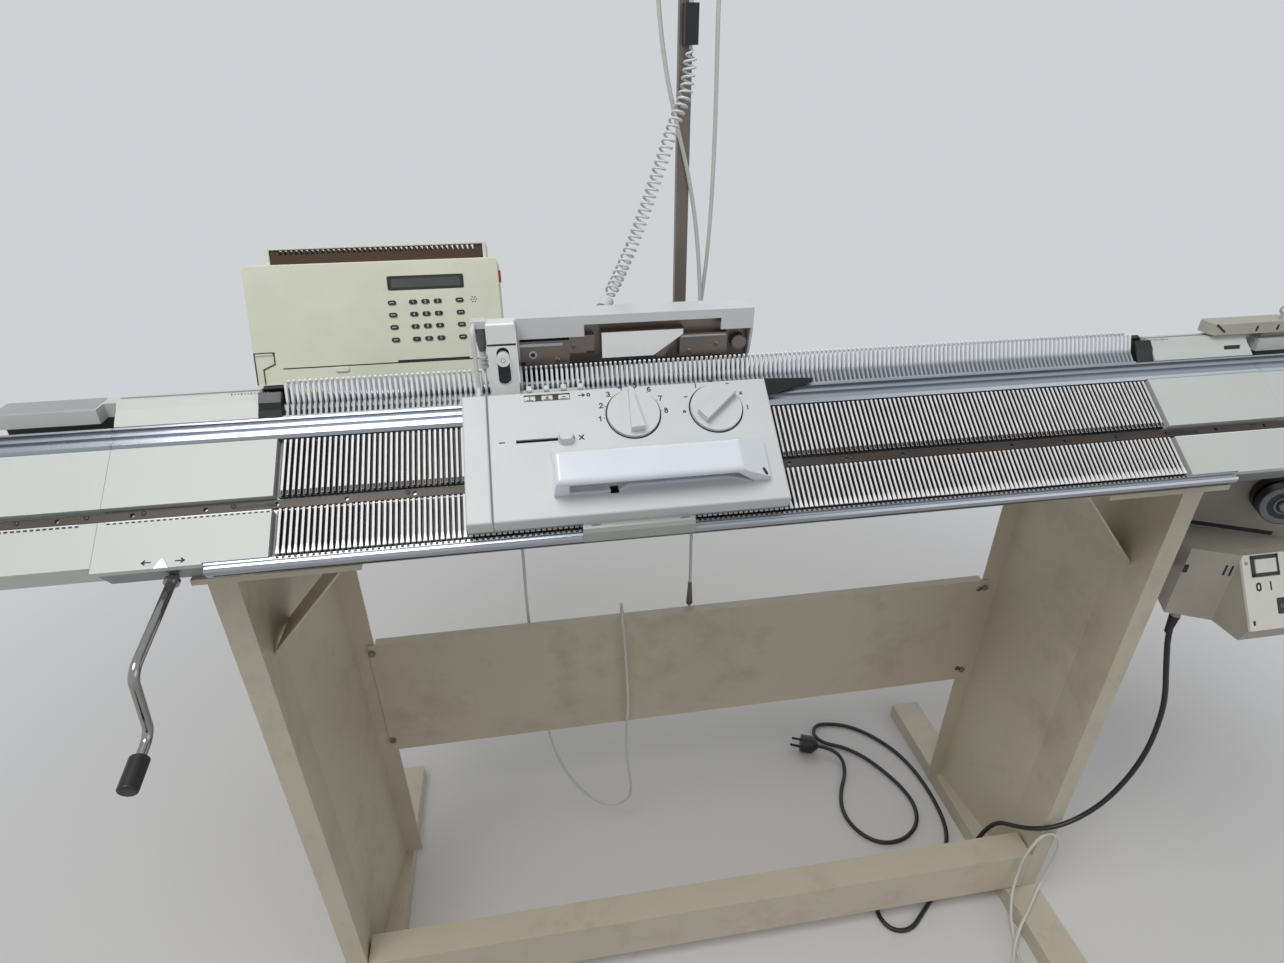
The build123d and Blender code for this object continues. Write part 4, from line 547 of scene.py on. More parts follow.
LEAD_RADIUS = 2.3
MAINS_RADIUS = 3.5
free_cord("mast_lead", "mast_cable", mast_cable_points, LEAD_RADIUS, cable_white, "back_bed")
free_cord("side_lead", "side_cable", side_cable_points, LEAD_RADIUS, cable_white, "back_bed")
free_cord("console_lead", "console_cable", console_cable_points, LEAD_RADIUS, cable_white, "machine")
free_cord("motor_lead", "motor_cord", motor_cord_points, MAINS_RADIUS, cable_black, "machine")
free_cord("foot_lead", "foot_cable", foot_cable_points, LEAD_RADIUS, cable_white, "machine")


# Curly cord: a tube wound round the route, drawn in to the route at both ends
def moving_frame(line, side):
    for k, p in enumerate(line):
        a = line[max(k - 1, 0)]
        b = line[min(k + 1, len(line) - 1)]
        along = (b - a).normalized()
        side = side - along * side.dot(along)
        side.normalize()
        yield k, p, side, along.cross(side)


def tube_mesh(name, line, radius, mat, sides=8):
    verts = []
    faces = []
    for k, p, side, other in moving_frame(line, Vector((0.3, 0.5, 0.81)).normalized()):
        for j in range(sides):
            turn = 2 * pi * j / sides
            verts.append(p + (side * cos(turn) + other * sin(turn)) * radius)
    for k in range(len(line) - 1):
        for j in range(sides):
            i = (j + 1) % sides
            faces.append((k * sides + j, k * sides + i, (k + 1) * sides + i, (k + 1) * sides + j))
    faces.append(tuple(range(sides))[::-1])
    faces.append(tuple((len(line) - 1) * sides + j for j in range(sides)))
    mesh = bpy.data.meshes.new(name)
    mesh.from_pydata([tuple(v) for v in verts], [], faces)
    mesh.materials.append(mat)
    mesh.shade_smooth()
    obj = bpy.data.objects.new(name, mesh)
    bpy.context.scene.collection.objects.link(obj)
    return obj


def resample(line, count):
    total = line_length(line)
    out = [line[0].copy()]
    step = total / (count - 1)
    want = step
    walked = 0.0
    for a, b in zip(line, line[1:]):
        run = (b - a).length
        while walked + run >= want - 1e-9 and len(out) < count - 1:
            out.append(a.lerp(b, (want - walked) / run))
            want += step
        walked += run
    out.append(line[-1].copy())
    return out


def helix(points, turns, radius, per_turn=14, lead=0.05):
    line = resample(route_line(points), turns * per_turn + 1)
    out = []
    for k, p, side, other in moving_frame(line, Vector((0, 0, 1))):
        share = k / (len(line) - 1)
        ease = min(1.0, share / lead, (1 - share) / lead)
        r = radius * ease * ease * (3 - 2 * ease)
        turn = 2 * pi * k / per_turn
        out.append(p + (side * cos(turn) + other * sin(turn)) * r)
    return out


COIL_TURNS = 38
COIL_RADIUS = 6.1 * MM
WIRE_RADIUS = 1.35 * MM
coil_line = helix(lock_cord_points, COIL_TURNS, COIL_RADIUS)
coil = tube_mesh("lock_coil", coil_line, WIRE_RADIUS, coil_white)
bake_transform(coil)
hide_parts("lock_cord")
round(line_length(coil_line), 3)


# Small pieces: outlines in millimetres on a face, raised in steps of inset and height
def rounded(cx, cy, w, h, r=1.0, steps=4):
    def ring(inset):
        a = w / 2 - inset
        b = h / 2 - inset
        c = max(0.05, min(r - inset, a, b))
        out = []
        for k, (sx, sy) in enumerate(((1, 1), (-1, 1), (-1, -1), (1, -1))):
            for j in range(steps + 1):
                turn = (k + j / steps) * pi / 2
                out.append((cx + sx * (a - c) + c * cos(turn), cy + sy * (b - c) + c * sin(turn)))
        return out

    return ring


def disc(cx, cy, r, steps=24):
    def ring(inset):
        return [
            (cx + (r - inset) * cos(2 * pi * k / steps), cy + (r - inset) * sin(2 * pi * k / steps))
            for k in range(steps)
        ]

    return ring


def shape(*points):
    mx = sum(p[0] for p in points) / len(points)
    my = sum(p[1] for p in points) / len(points)

    def ring(inset):
        out = []
        for x, y in points:
            reach = ((x - mx) ** 2 + (y - my) ** 2) ** 0.5
            out.append((x - (x - mx) / reach * inset, y - (y - my) / reach * inset))
        return out

    return ring


def lift(bm, m, ring, *levels):
    rings = []
    for inset, z in levels:
        places = [m @ Vector((x * MM, y * MM, z * MM)) for x, y in ring(inset)]
        rings.append([bm.verts.new(p) for p in places])
    count = len(rings[0])
    for low, high in zip(rings, rings[1:]):
        for j in range(count):
            i = (j + 1) % count
            bm.faces.new((low[j], low[i], high[i], high[j]))
    bm.faces.new(rings[0][::-1])
    bm.faces.new(rings[-1])


def slab(bm, m, ring, low, high, edge=0.0):
    if edge:
        lift(bm, m, ring, (0, low), (0, high - edge), (edge, high))
    else:
        lift(bm, m, ring, (0, low), (0, high))


def band(bm, m, cx, cy, r_in, r_out, low, high, steps=56):
    turns = [2 * pi * k / steps for k in range(steps)]
    rings = []
    for r, z in ((r_in, low), (r_out, low), (r_out, high), (r_in, high)):
        places = [m @ (Vector((cx + r * cos(t), cy + r * sin(t), z)) * MM) for t in turns]
        rings.append([bm.verts.new(p) for p in places])
    for a, b in zip(rings, rings[1:] + rings[:1]):
        for k in range(steps):
            n = (k + 1) % steps
            bm.faces.new((a[k], a[n], b[n], b[k]))


def strokes(bm, m, lines, width, low, high):
    for line in lines:
        for (ax, ay), (bx, by) in zip(line, line[1:]):
            run = ((bx - ax) ** 2 + (by - ay) ** 2) ** 0.5
            ux = (bx - ax) / run * width / 2
            uy = (by - ay) / run * width / 2
            ring = shape((ax - ux + uy, ay - uy - ux), (bx + ux + uy, by + uy - ux),
                         (bx + ux - uy, by + uy + ux), (ax - ux - uy, ay - uy + ux))
            slab(bm, m, ring, low, high)


# Plain numbers and marks as strokes, six units high
GLYPH_UNITS = 6
glyphs = {
    "0": [[(0, 3), (1.5, 2.2), (1.8, 0), (1.5, -2.2), (0, -3), (-1.5, -2.2), (-1.8, 0), (-1.5, 2.2),
           (0, 3)]],
    "1": [[(-1.1, 1.8), (0.3, 3), (0.3, -3)]],
    "2": [[(-1.8, 1.7), (-1.1, 2.8), (0.3, 3), (1.5, 2.3), (1.6, 1), (-1.8, -3), (1.9, -3)]],
    "3": [[(-1.7, 2.4), (-0.3, 3), (1.3, 2.4), (1.4, 1), (0, 0.2), (1.6, -0.8), (1.5, -2.3), (0, -3),
           (-1.8, -2.3)]],
    "4": [[(0.9, -3), (0.9, 3), (-2, -1.2), (2, -1.2)]],
    "5": [[(1.5, 3), (-1.3, 3), (-1.5, 0.5), (0.6, 0.6), (1.7, -0.9), (1.2, -2.6), (-0.4, -3),
           (-1.7, -2.4)]],
    "6": [[(1.3, 2.8), (-0.4, 2.6), (-1.6, 0.6), (-1.7, -1.6), (-0.6, -3), (1.1, -2.7), (1.8, -1.1),
           (0.8, 0.3), (-1.5, -0.2)]],
    "7": [[(-1.8, 3), (1.8, 3), (-0.5, -3)]],
    "8": [[(0, 0.3), (-1.4, 1.3), (-1.1, 2.7), (0.2, 3), (1.4, 2.3), (1.3, 1), (0, 0.3), (-1.7, -1),
           (-1.4, -2.5), (0, -3), (1.5, -2.4), (1.7, -0.9), (0, 0.3)]],
    "9": [[(1.5, 0.2), (-0.8, -0.3), (-1.8, 1.1), (-1.1, 2.7), (0.6, 3), (1.7, 1.6), (1.6, -0.6),
           (0.4, -2.6), (-1.3, -2.8)]],
    "bar": [[(-1.8, 0), (1.8, 0)]],
    "cross": [[(-1.8, 2), (1.8, -2)], [(-1.8, -2), (1.8, 2)]],
    "ring": [[(1.6, 0), (0.8, 1.4), (-0.8, 1.4), (-1.6, 0), (-0.8, -1.4), (0.8, -1.4), (1.6, 0)]],
    "arrow": [[(-3, 0), (3, 0)], [(1.2, 1.6), (3, 0), (1.2, -1.6)]],
    "stroke": [[(0, 3), (0, -3)]],
}


def glyph(bm, m, name, cx, cy, height, width, low, high, flip=1):
    scale = height / GLYPH_UNITS
    lines = [[(cx + flip * x * scale, cy + y * scale) for x, y in line] for line in glyphs[name]]
    strokes(bm, m, lines, width, low, high)


def place(name, bm, mat, body):
    bmesh.ops.recalc_face_normals(bm, faces=bm.faces)
    mesh = bpy.data.meshes.new(name)
    bm.to_mesh(mesh)
    bm.free()
    mesh.materials.append(mat)
    mesh.shade_smooth()
    mesh.set_sharp_from_angle(angle=radians(40))
    obj = bpy.data.objects.new(name, mesh)
    bpy.context.scene.collection.objects.link(obj)
    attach(obj, body)
    return obj


# Domed screw heads and the dark cuts across them, each turned a little further
def slotted(name, m, places, body, mat, r):
    heads = bmesh.new()
    cuts = bmesh.new()
    for k, (x, y, z) in enumerate(places):
        top = z + r * 0.42
        lift(heads, m, disc(x, y, r, 20), (0, z - 0.4), (0, z + r * 0.25), (r * 0.22, top))
        turn = 0.5 + 0.9 * k
        dx = cos(turn) * r * 0.7
        dy = sin(turn) * r * 0.7
        strokes(cuts, m, [[(x - dx, y - dy), (x + dx, y + dy)]], r * 0.26, top - 0.1, top + 0.05)
    place(name, heads, mat, body)
    place(name + "_cuts", cuts, ink, body)


# Lock: printed marks, openings, tabs, seams and the handle's lip
TOP = 22.0
PRINT = (TOP - 0.2, TOP + 0.06)
STITCH_X = -122
PATTERN_X = -41
DIAL_S = 65.0


def round_dial(x, r, turn):
    return x + r * sin(turn), DIAL_S + r * cos(turn)


bm = bmesh.new()
for k in range(8):
    turn = radians(-95 + 26 * k)
    glyph(bm, FRONT, str(k + 1), *round_dial(STITCH_X, 32, turn), 4.8, 1.05, *PRINT)
    tick = [round_dial(STITCH_X, 27.6, turn), round_dial(STITCH_X, 28.6, turn)]
    strokes(bm, FRONT, [tick], 0.6, *PRINT)
for k, name in enumerate(("ring", "bar", "stroke", "ring", "bar", "cross", "stroke")):
    turn = radians(-92 + 30.6 * k)
    glyph(bm, FRONT, name, *round_dial(PATTERN_X, 31.5, turn), 4.2, 1.0, *PRINT)
for x in (STITCH_X, PATTERN_X):
    band(bm, FRONT, x, DIAL_S, 25.3, 26.8, TOP - 0.2, TOP + 0.05)
glyph(bm, FRONT, "arrow", -169.5, 89.3, 5.5, 1.1, *PRINT)
glyph(bm, FRONT, "ring", -162.8, 89.3, 5.5, 1.1, *PRINT)
glyph(bm, FRONT, "bar", -246.8, 44.0, 7, 1.4, *PRINT)
glyph(bm, FRONT, "cross", -173.5, 44.1, 6.4, 1.3, *PRINT)
place("lock_marks", bm, ink, "lock")

bm = bmesh.new()
slab(bm, FRONT, rounded(-202.25, 89.25, 43.3, 7.3, 0.8), 8.05, 20.2)
slab(bm, FRONT, rounded(-149, -11, 7.8, 7.8, 0.8), 8.05, 14.0)
slab(bm, FRONT, rounded(-207, 44, 53.6, 3.1, 1.2), 8.02, 8.9)
latch = face_frame((-9.2, -135.9, 870.6), (0.55, -0.5, 0.66))
slab(bm, latch, rounded(0, 0, 3.4, 7.5, 1.7), -0.3, 0.08)
place("lock_openings", bm, black_plastic, "lock")
tabs = ((-218.6, "stroke"), (-202.2, "cross"), (-186.2, "bar"))
TAB_S = 89.4
bm = bmesh.new()
for x, name in tabs:
    slab(bm, FRONT, rounded(x, TAB_S, 10.6, 5.0, 0.8), 19.5, 21.2, 0.3)
place("lock_tabs", bm, switch_white, "lock")
bm = bmesh.new()
for x, name in tabs:
    glyph(bm, FRONT, name, x, TAB_S, 3.2, 0.9, 21.1, 21.26)
    strokes(bm, FRONT, [[(x - 3, 87.6), (x + 3, 87.6)]], 0.6, 21.1, 21.26)
place("lock_tab_marks", bm, ink, "lock")

bm = bmesh.new()
for x in (-168.2, -85.6):
    slab(bm, FRONT, rounded(x, -38.8, 8.5, 1.5, 0.7), 7.9, 8.07)
strokes(bm, FRONT, [[(-258.5, -33.5), (-258.5, 102.5)]], 0.7, TOP - 0.3, TOP + 0.03)
place("lock_lines", bm, ink_grey, "lock")
bm = bmesh.new()
strokes(bm, FRONT, [[(-200.5, 2), (-200.5, -8), (-197, -12.5), (-153.5, -12.5)],
                    [(-144, -12.5), (-138, -8.5), (-40, -8.5), (-22, -14)]], 1.7, 21.8, 24.4)
place("handle_lip", bm, handle_gloss, "lock")

# Post, feeder and the plates under the back cover
knob_low, knob_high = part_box("bridge_knob")
knob = facing(knob_low[1] / MM)
mid_x = (knob_low[0] + knob_high[0]) / 2 / MM
mid_z = (knob_low[2] + knob_high[2]) / 2 / MM
bm = bmesh.new()
lift(bm, knob, disc(mid_x, mid_z, 2.3), (0, -0.4), (0, 0.05), (1.4, -0.1))
place("knob_hole", bm, ink, "bridge_knob")
plates = facing(7)
deflector = facing(3.5)
hole_x, hole_z = -212.0, 944.4
bm = bmesh.new()
slab(bm, facing(-33), rounded(-240.5, 969.6, 26.6, 1.9, 0.3), -0.3, 0.08)
slab(bm, facing(-28.6), rounded(-240.5, 948, 11.6, 37, 5.6), -0.1, 0.3)
slab(bm, plates, disc(hole_x, hole_z, 2.2), -0.2, 0.35)
slab(bm, plates, rounded(-222.5, 935.5, 5, 3, 0.5), -0.2, 0.1)
slab(bm, plates, rounded(-154.0, 944.5, 9, 2.2, 0.9), -0.2, 0.1)
strokes(bm, deflector, [[(-142.5, 937.8), (-88.0, 937.8)]], 1.2, -0.2, 0.5)
place("plate_shadows", bm, ink, "lock")
bm = bmesh.new()
band(bm, plates, hole_x, hole_z, 2.2, 4.1, -0.2, 0.6)
slab(bm, plates, rounded(-203.2, 954.4, 43, 3.2, 0.8), -0.2, 0.9, 0.2)
slab(bm, plates, rounded(-37.5, 955.6, 48, 2.2, 0.6), -0.2, 0.8, 0.2)
place("plate_trim", bm, rail_metal, "lock")
screw_spots = [(-170.5, 951.5, 0.1), (-188, 938, 0.1), (-24, 946, 0.1), (-52, 940, 0.1)]
slotted("plate_screws", plates, screw_spots, "lock", plate_steel, 2.7)
bm = bmesh.new()
outline = shape((-142.7, 938.5), (-90, 938.5), (-59.5, 959.5), (-59.5, 964.5), (-142.7, 964.5))
slab(bm, deflector, outline, -0.3, 0.7, 0.25)
place("deflector_face", bm, bright_white, "lock")
bm = bmesh.new()
lift(bm, upright(-260, -7), disc(0, 0, 5.25, 32), (0, 979.8), (0, 966.2), (0.9, 962), (2.0, 956.4))
place("feeder_cone", bm, ink_grey, "lock")

# Needle field: white rib feet, dots on the ledge, and the edge of the trough, with a painted highlight
# along the panel's edge and a painted shadow under the rail's lip
PITCH = 5
NEEDLES = 179
needles = [PITCH * (k - NEEDLES // 2) for k in range(NEEDLES)]


def block(x, half, low, high):
    return shape((x - half, low), (x + half, low), (x + half, high), (x - half, high))


bm = bmesh.new()
for x in needles:
    foot = shape((x - 1, -29), (x - 1.75, -36.4), (x + 1.75, -36.4), (x + 1, -29))
    lift(bm, FRONT, foot, (0, -1.2), (0, 0.05), (0.3, 0.3))
place("rib_feet", bm, bright_white, "machine")
bm = bmesh.new()
for x in needles:
    slab(bm, FRONT, block(x, 1.3, -40.3, -38.6), -1.6, -1.42)
place("ledge_dots", bm, ink, "machine")
bm = bmesh.new()
for x in needles:
    slab(bm, FRONT, block(x, 0.9, 19.2, 23.6), -0.2, 0.05)
place("rib_shades", bm, ink, "machine")
# The painted highlight on the panel's edge and its teeth leave this length free at the left
BARE = (-610, -586)
# A bright line along the panel's far edge: painted highlight
bm = bmesh.new()
for low, high in ((-700, BARE[0]), (BARE[1], -453), (453, 700)):
    strokes(bm, FRONT, [[(low, 5.5), (high, 5.5)]], 0.8, -0.2, 0.32)
place("panel_edge_painted_highlight", bm, bright_white, "machine")
bm = bmesh.new()
for k in range(-139, -90):
    x = PITCH * k
    if not BARE[0] < x < BARE[1]:
        slab(bm, FRONT, block(x, 1.4, 3.2, 4.6), -0.2, 0.35)
place("panel_teeth", bm, ink, "machine")
bm = bmesh.new()
slab(bm, FRONT, rounded(-469, 12.5, 36, 3.6, 1.2), -5.7, -5.42)
slab(bm, FRONT, rounded(469, 12.5, 38, 3.6, 1.2), -5.7, -5.42)
slab(bm, FRONT, rounded(557, 15.5, 9, 3, 0.8), -5.7, -5.42)
place("strip_slots", bm, ink, "machine")
strip_xs = (-662, -607, -561, -487, -336, -216, 96, 216, 336, 520, 640)
slotted("strip_screws", FRONT, [(x, 14.2, -5.5) for x in strip_xs],
        "machine", strip_brown, 2.1)
bm = bmesh.new()
glyph(bm, FRONT, "arrow", -550, -34.3, 6.6, 1.3, 0.1, 0.36, flip=-1)
glyph(bm, FRONT, "arrow", -523.2, -34.8, 6.6, 1.3, 0.1, 0.36)
place("racking_marks", bm, ink, "machine")
# A black band along the front face under the rail's lip: painted shadow
lip = face_frame(tuple(bed(1, 0, -48.5, -9) / MM), (0, -slope_c, -slope_s))
bm = bmesh.new()
strokes(bm, lip, [[(-498, -0.6), (496, -0.6)]], 2.4, -0.2, 0.1)
place("rail_lip_painted_shadow", bm, ink, "machine")

# Ends of the beds: grey lid tops, black sheets of painted shade in the openings under them, a tick scale,
# changer slots
bm = bmesh.new()
for side in (-1, 1):
    slab(bm, PLAN, rounded(side * 654.75, -3, 86, 28, 2.5), 923.8, 924.4, 0.3)
place("lid_tops", bm, lid_grey, "back_bed")
# Black sheets under the lids: painted shade in the end openings
bm = bmesh.new()
for side in (-1, 1):
    slab(bm, PLAN, rounded(side * 647.5, -3, 102, 3, 1), 886, 910.4)
place("lid_shades", bm, black_plastic, "back_bed")
bm = bmesh.new()
for sx in (-1, 1):
    scale = face_frame((sx * 477.8, -12.6, 928.3), (0, -0.76, 0.65))
    for k in range(12):
        slab(bm, scale, rounded(-16 + 2.9 * k, 0.4, 1.1, 1.5 if k % 3 else 2.4, 0.3), -0.2, 0.09)
place("end_scales", bm, ink_grey, "machine")
changer = facing(-18)
bm = bmesh.new()
strokes(bm, changer, [[(547, 943.2), (558.5, 935.2)]], 2.3, -0.2, 0.1)
for x in (600, 627, 654):
    slab(bm, changer, rounded(x, 937.2, 3.2, 6.5, 1.2), -0.2, 0.1)
place("changer_slots", bm, ink, "back_bed")
bm = bmesh.new()
pad = face_frame((571, -22.6, 918.3), (0, -0.63, 0.78))
slab(bm, pad, shape((-11, -2.6), (9, -2.6), (12, 2.4), (-9, 2.4)), -0.3, 0.1)
place("panel_recess", bm, ink, "machine")

# Console: screen, key marks, seam, clip and tab
bm = bmesh.new()
slab(bm, CONSOLE, rounded(67, 123.5, 89.4, 16.4, 2.5), -1.3, -0.35, 0.2)
slab(bm, CONSOLE, rounded(9, 29.75, 233, 1.2, 0.4), -0.75, -0.5)
slab(bm, CONSOLE, rounded(68, 31.6, 86, 2.2, 0.8), -0.3, 0.08)
sound_holes = [(3.2 * cos(k * pi / 3), 3.2 * sin(k * pi / 3)) for k in range(6)] + [(0, 0)]
for dx, dy in sound_holes:
    slab(bm, CONSOLE, disc(122 + dx, 101 + dy, 0.75, 10), -0.5, 0.06)
place("console_black", bm, black_plastic, "machine")
bm = bmesh.new()
slab(bm, CONSOLE, rounded(67, 123.5, 81, 10.5, 1.4), -0.5, -0.15, 0.1)
place("console_screen", bm, screen_glass, "machine")
bm = bmesh.new()
key_rows = (
    (101, ("1", "2", "3")),
    (86.5, ("4", "5", "6")),
    (72, ("7", "8", "9")),
    (57, ("bar", "0", "cross")),
)
for y, signs in key_rows:
    for x, sign in zip((50, 64.5, 79), signs):
        glyph(bm, CONSOLE, sign, x, y, 2.9, 0.5, 1.1, 1.28)
    for x in (25.4, 105):
        strokes(bm, CONSOLE, [[(x - 2.2, y), (x + 2.2, y)]], 0.8, 1.1, 1.28)
place("key_marks", bm, switch_white, "machine")
bm = bmesh.new()
slab(bm, CONSOLE, rounded(-40.5, 25.5, 17, 6.5, 3.0), -0.3, 2.2, 0.9)
slab(bm, CONSOLE, rounded(-127.5, 47.5, 20, 2.0, 0.8), -2.0, 0.3, 0.3)
place("console_tab", bm, console_cream, "machine")
bm = bmesh.new()
slab(bm, CONSOLE, rounded(14, 168.6, 250, 2.2, 0.6), -14, -7.6, 0.4)
slab(bm, CONSOLE, rounded(139.4, 158.5, 4.2, 22, 1.0), -46, -7.6, 0.6)
slab(bm, CONSOLE, rounded(-111.4, 158.5, 4.2, 22, 1.0), -46, -7.6, 0.6)
place("tray_frame", bm, console_cream, "machine")
bm = bmesh.new()
strokes(bm, CONSOLE, [[(-138.7, 12.8), (-138.7, 49), (-116, 49)],
                      [(-116.5, 49), (-116.5, 36), (-130, 30), (-130, 13)]], 0.9, -2, 0.08)
place("console_clip_lines", bm, tray_brown, "machine")

# Motor: frame round the rocker, marks, socket, seams, a painted shadow along the step of the casing, and
# drum
rocker_x, rocker_y = -10, -14
wide, tall = 16.6, 10.6
rocker_line = [(rocker_x + i * wide, rocker_y + j * tall) for i, j in CORNERS + CORNERS[:1]]
bm = bmesh.new()
strokes(bm, SWITCH, [rocker_line], 4.2, 2.8, 3.9)
glyph(bm, SWITCH, "0", -21.5, -38.5, 8.5, 2.2, 2.9, 3.08)
glyph(bm, SWITCH, "stroke", -5.0, -38.5, 8.5, 2.2, 2.9, 3.08)
socket_x, socket_y = 13, -63
slab(bm, SWITCH, rounded(socket_x, socket_y, 26, 19, 2.0), 2.9, 3.3, 0.2)
slab(bm, SWITCH, rounded(-33.5, -80, 3.4, 6.2, 1.7), 2.9, 3.07)
slab(bm, SWITCH, rounded(33.5, -80, 3.4, 6.2, 1.7), 2.9, 3.07)
place("plate_marks", bm, ink, "machine")
slotted("plate_fixings", SWITCH, [(-34.5, -9.5, 3.0), (34.5, -9.5, 3.0)],
        "machine", chrome, 2.2)
bm = bmesh.new()
slab(bm, SWITCH, disc(socket_x, socket_y, 5.5), 3.2, 3.6, 0.2)
for dx in (-7.8, 7.8):
    slab(bm, SWITCH, rounded(socket_x + dx, socket_y, 1.6, 5.0, 0.5), 3.2, 3.5)
place("socket_face", bm, ink_grey, "machine")
bm = bmesh.new()
for u in (41.5, 47.5):
    slab(bm, motor_face(0), rounded(u, 670, 2.4, 15, 1.1), -0.2, 0.08)
slab(bm, motor_face(0), rounded(2.5, 664, 5, 12, 1.5), -0.2, 0.08)
# A long dark band where the upper panel meets the top of the lower box: painted shadow
slab(bm, motor_face(61), rounded(45, 696.5, 112, 5.5, 1), -0.3, 0.2)
place("motor_seams_painted_shadow", bm, ink, "machine")
drum = motor_face(31)
drum_x, drum_z = 84, 750
bm = bmesh.new()
band(bm, drum, drum_x, drum_z, 17.5, 23.8, -0.3, 0.5)
band(bm, drum, drum_x, drum_z, 9.0, 11.0, -0.3, 1.0)
lift(bm, drum, disc(drum_x, drum_z, 7.0, 6), (0, -0.3), (0, 3.2), (0.8, 4.0))
place("drum_face", bm, ink_grey, "motor_pulley")

# Covers over the back of the motor's casing, with louvres and screws
rear = motor_face(MOTOR_DEPTH, 1)
rear_mid = -70
bm = bmesh.new()
slab(bm, rear, rounded(rear_mid, 644.5, 133.4, 90.2, 3), -2.4, -0.3, 0.5)
slab(bm, rear, rounded(rear_mid, 737.5, 133.4, 88.2, 3), -2.4, -0.3, 0.5)
place("motor_covers", bm, motor_grey, "machine")
bm = bmesh.new()
for k in range(7):
    slab(bm, rear, rounded(rear_mid, 716 + 7 * k, 78, 2.6, 1.3), -0.5, -0.2)
    slab(bm, rear, rounded(rear_mid, 623 + 7 * k, 78, 2.6, 1.3), -0.5, -0.2)
place("motor_louvres", bm, ink, "machine")
slotted("motor_screws", rear, [(x, z, -0.3) for x in (-130, -10) for z in (606, 683, 700, 775)],
        "machine", plate_steel, 2.6)

# Strain relief under the motor, and two dark screws in the back panel
bm = bmesh.new()
levels = []
for k in range(7):
    z = 588.2 - 4.1 * k
    r = 0.35 * k
    levels += [(r, z), (r, z - 2.4), (r + 0.8, z - 2.5), (r + 0.8, z - 4.0)]
lift(bm, upright(569, -92), disc(0, 0, 6.2, 24), *levels)
place("motor_relief", bm, cable_black, "machine")
slotted("panel_screws", facing(130), [(460.9, 473.7, 0.0), (461.1, 305.4, 0.0)],
        "machine", plate_steel, 4.2)

# Floor, light and camera. The floor fades into the backdrop between these distances, in metres
BACKDROP = (0.62, 0.64, 0.665, 1)
FADE_START = 0.8
FADE_END = 2.3
FLOOR_HALF = 14.0
FLOOR_Z = -0.0006
WORLD_STRENGTH = 0.36


def seen_rays(nd, ln):
    path = nd.new("ShaderNodeLightPath")
    either = math_node(nd, ln, "MAXIMUM", path.outputs["Is Camera Ray"], path.outputs["Is Glossy Ray"])
    return math_node(nd, ln, "MAXIMUM", either, path.outputs["Is Transmission Ray"])


floor_mat = bpy.data.materials.new("floor_pale")
floor_mat.use_nodes = True
nd, ln = links(floor_mat)
nd["Principled BSDF"].inputs["Base Color"].default_value = (0.68, 0.675, 0.67, 1)
nd["Principled BSDF"].inputs["Roughness"].default_value = 0.85
coords = nd.new("ShaderNodeTexCoord")
reach = nd.new("ShaderNodeVectorMath")
reach.operation = "LENGTH"
ln.new(coords.outputs["Object"], reach.inputs[0])
fade = nd.new("ShaderNodeMapRange")
fade.interpolation_type = "SMOOTHSTEP"
ln.new(reach.outputs["Value"], fade.inputs[0])
fade.inputs[1].default_value = FADE_START
fade.inputs[2].default_value = FADE_END
glow = nd.new("ShaderNodeEmission")
glow.inputs[0].default_value = BACKDROP
glow.inputs[1].default_value = 1.0
join = nd.new("ShaderNodeMixShader")
ln.new(math_node(nd, ln, "MULTIPLY", fade.outputs[0], seen_rays(nd, ln)), join.inputs[0])
ln.new(nd["Principled BSDF"].outputs[0], join.inputs[1])
ln.new(glow.outputs[0], join.inputs[2])
ln.new(join.outputs[0], nd["Material Output"].inputs["Surface"])
floor_mesh = bpy.data.meshes.new("studio_floor")
floor_corners = [(i * FLOOR_HALF, j * FLOOR_HALF, FLOOR_Z) for i, j in CORNERS]
floor_mesh.from_pydata(floor_corners, [], [(0, 1, 2, 3)])
floor_mesh.materials.append(floor_mat)
floor = bpy.data.objects.new("studio_floor", floor_mesh)
bpy.context.scene.collection.objects.link(floor)

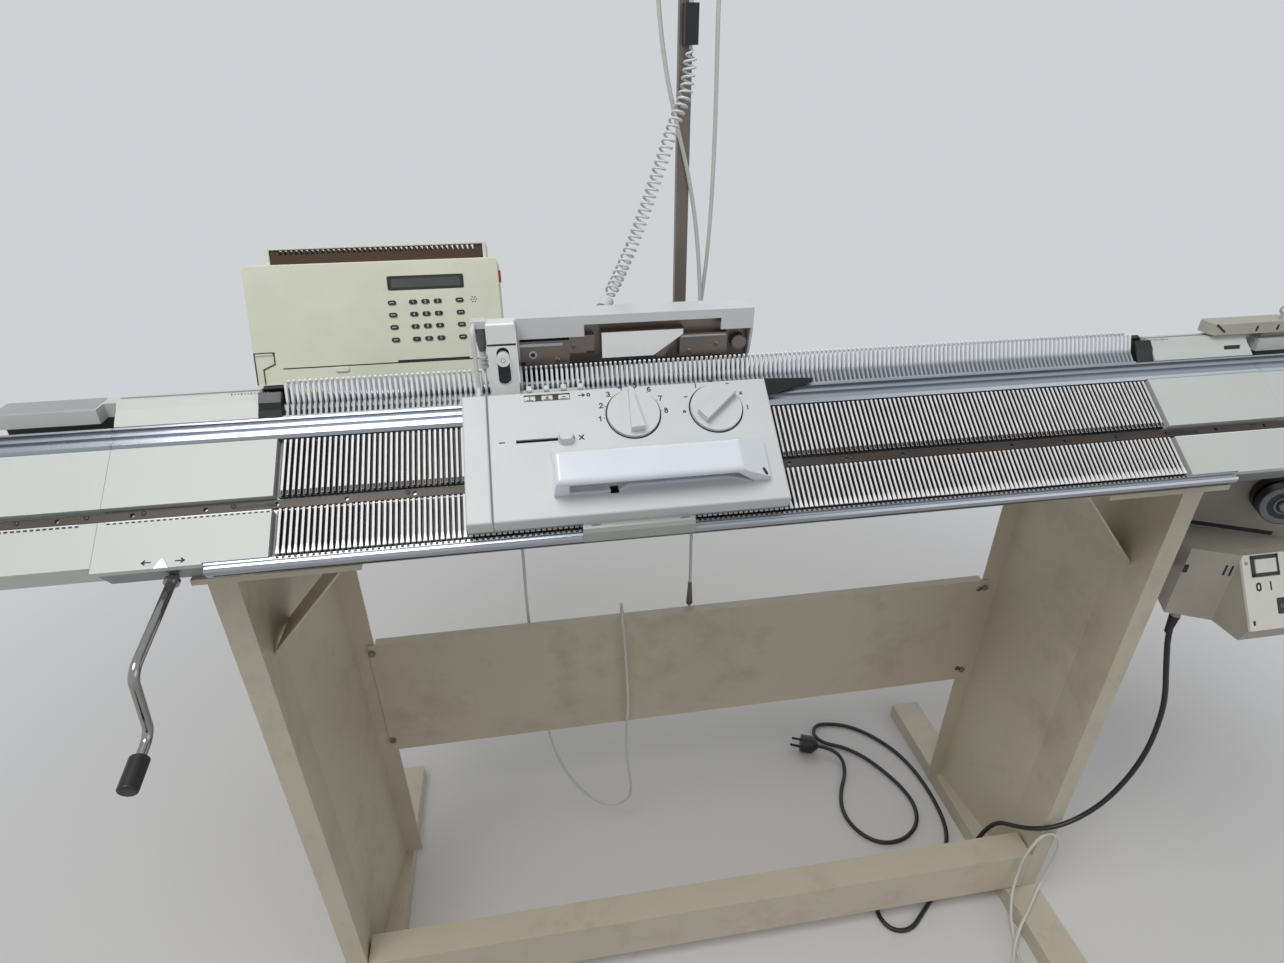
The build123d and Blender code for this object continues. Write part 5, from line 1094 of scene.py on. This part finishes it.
world = bpy.data.worlds.new("studio")
bpy.context.scene.world = world
world.use_nodes = True
wn, wl = world.node_tree.nodes, world.node_tree.links
wn["Background"].inputs[0].default_value = (0.98, 0.985, 1.0, 1)
wn["Background"].inputs[1].default_value = WORLD_STRENGTH
seen = wn.new("ShaderNodeBackground")
seen.inputs[0].default_value = BACKDROP
seen.inputs[1].default_value = 1.0
pick = wn.new("ShaderNodeMixShader")
wl.new(seen_rays(wn, wl), pick.inputs[0])
wl.new(wn["Background"].outputs[0], pick.inputs[1])
wl.new(seen.outputs[0], pick.inputs[2])
wl.new(pick.outputs[0], wn["World Output"].inputs[0])


def area_light(name, spot, aim, size, power, colour=(1, 1, 1)):
    data = bpy.data.lights.new(name, "AREA")
    data.shape = "DISK"
    data.size = size
    data.energy = power
    data.color = colour
    lamp = bpy.data.objects.new(name, data)
    bpy.context.scene.collection.objects.link(lamp)
    lamp.location = spot
    lamp.rotation_euler = (Vector(aim) - Vector(spot)).to_track_quat("-Z", "Y").to_euler()


area_light("key", (-0.9, -0.9, 3.2), (-0.1, 0, 0.85), 1.6, 42, (1.0, 0.995, 0.98))
area_light("fill", (2.0, -2.2, 1.6), (0, 0, 0.7), 2.2, 8, (0.98, 0.99, 1.0))
area_light("rim", (0.6, 2.4, 2.6), (0, 0, 0.8), 1.6, 6)

# The camera that was solved from the photograph: its focal length in the photograph's pixels,
# its axes and its place in metres
PHOTO_WIDTH = 1284
FOCAL_PIXELS = 725.75
SENSOR = 36.0
camera_data = bpy.data.cameras.new("view")
camera_data.sensor_width = SENSOR
camera_data.lens = FOCAL_PIXELS / PHOTO_WIDTH * SENSOR
camera_data.clip_start = 0.05
camera = bpy.data.objects.new("view", camera_data)
bpy.context.scene.collection.objects.link(camera)
right = Vector((0.98727, -0.159029, -0.002615))
up = Vector((0.079786, 0.48096, 0.873104))
back = Vector((-0.137591, -0.862199, 0.487526))
camera.matrix_world = Matrix((
    (right.x, up.x, back.x, -0.21438),
    (right.y, up.y, back.y, -0.698954),
    (right.z, up.z, back.z, 1.188171),
    (0, 0, 0, 1),
))
bpy.context.scene.camera = camera
bpy.context.scene.view_settings.view_transform = "Standard"
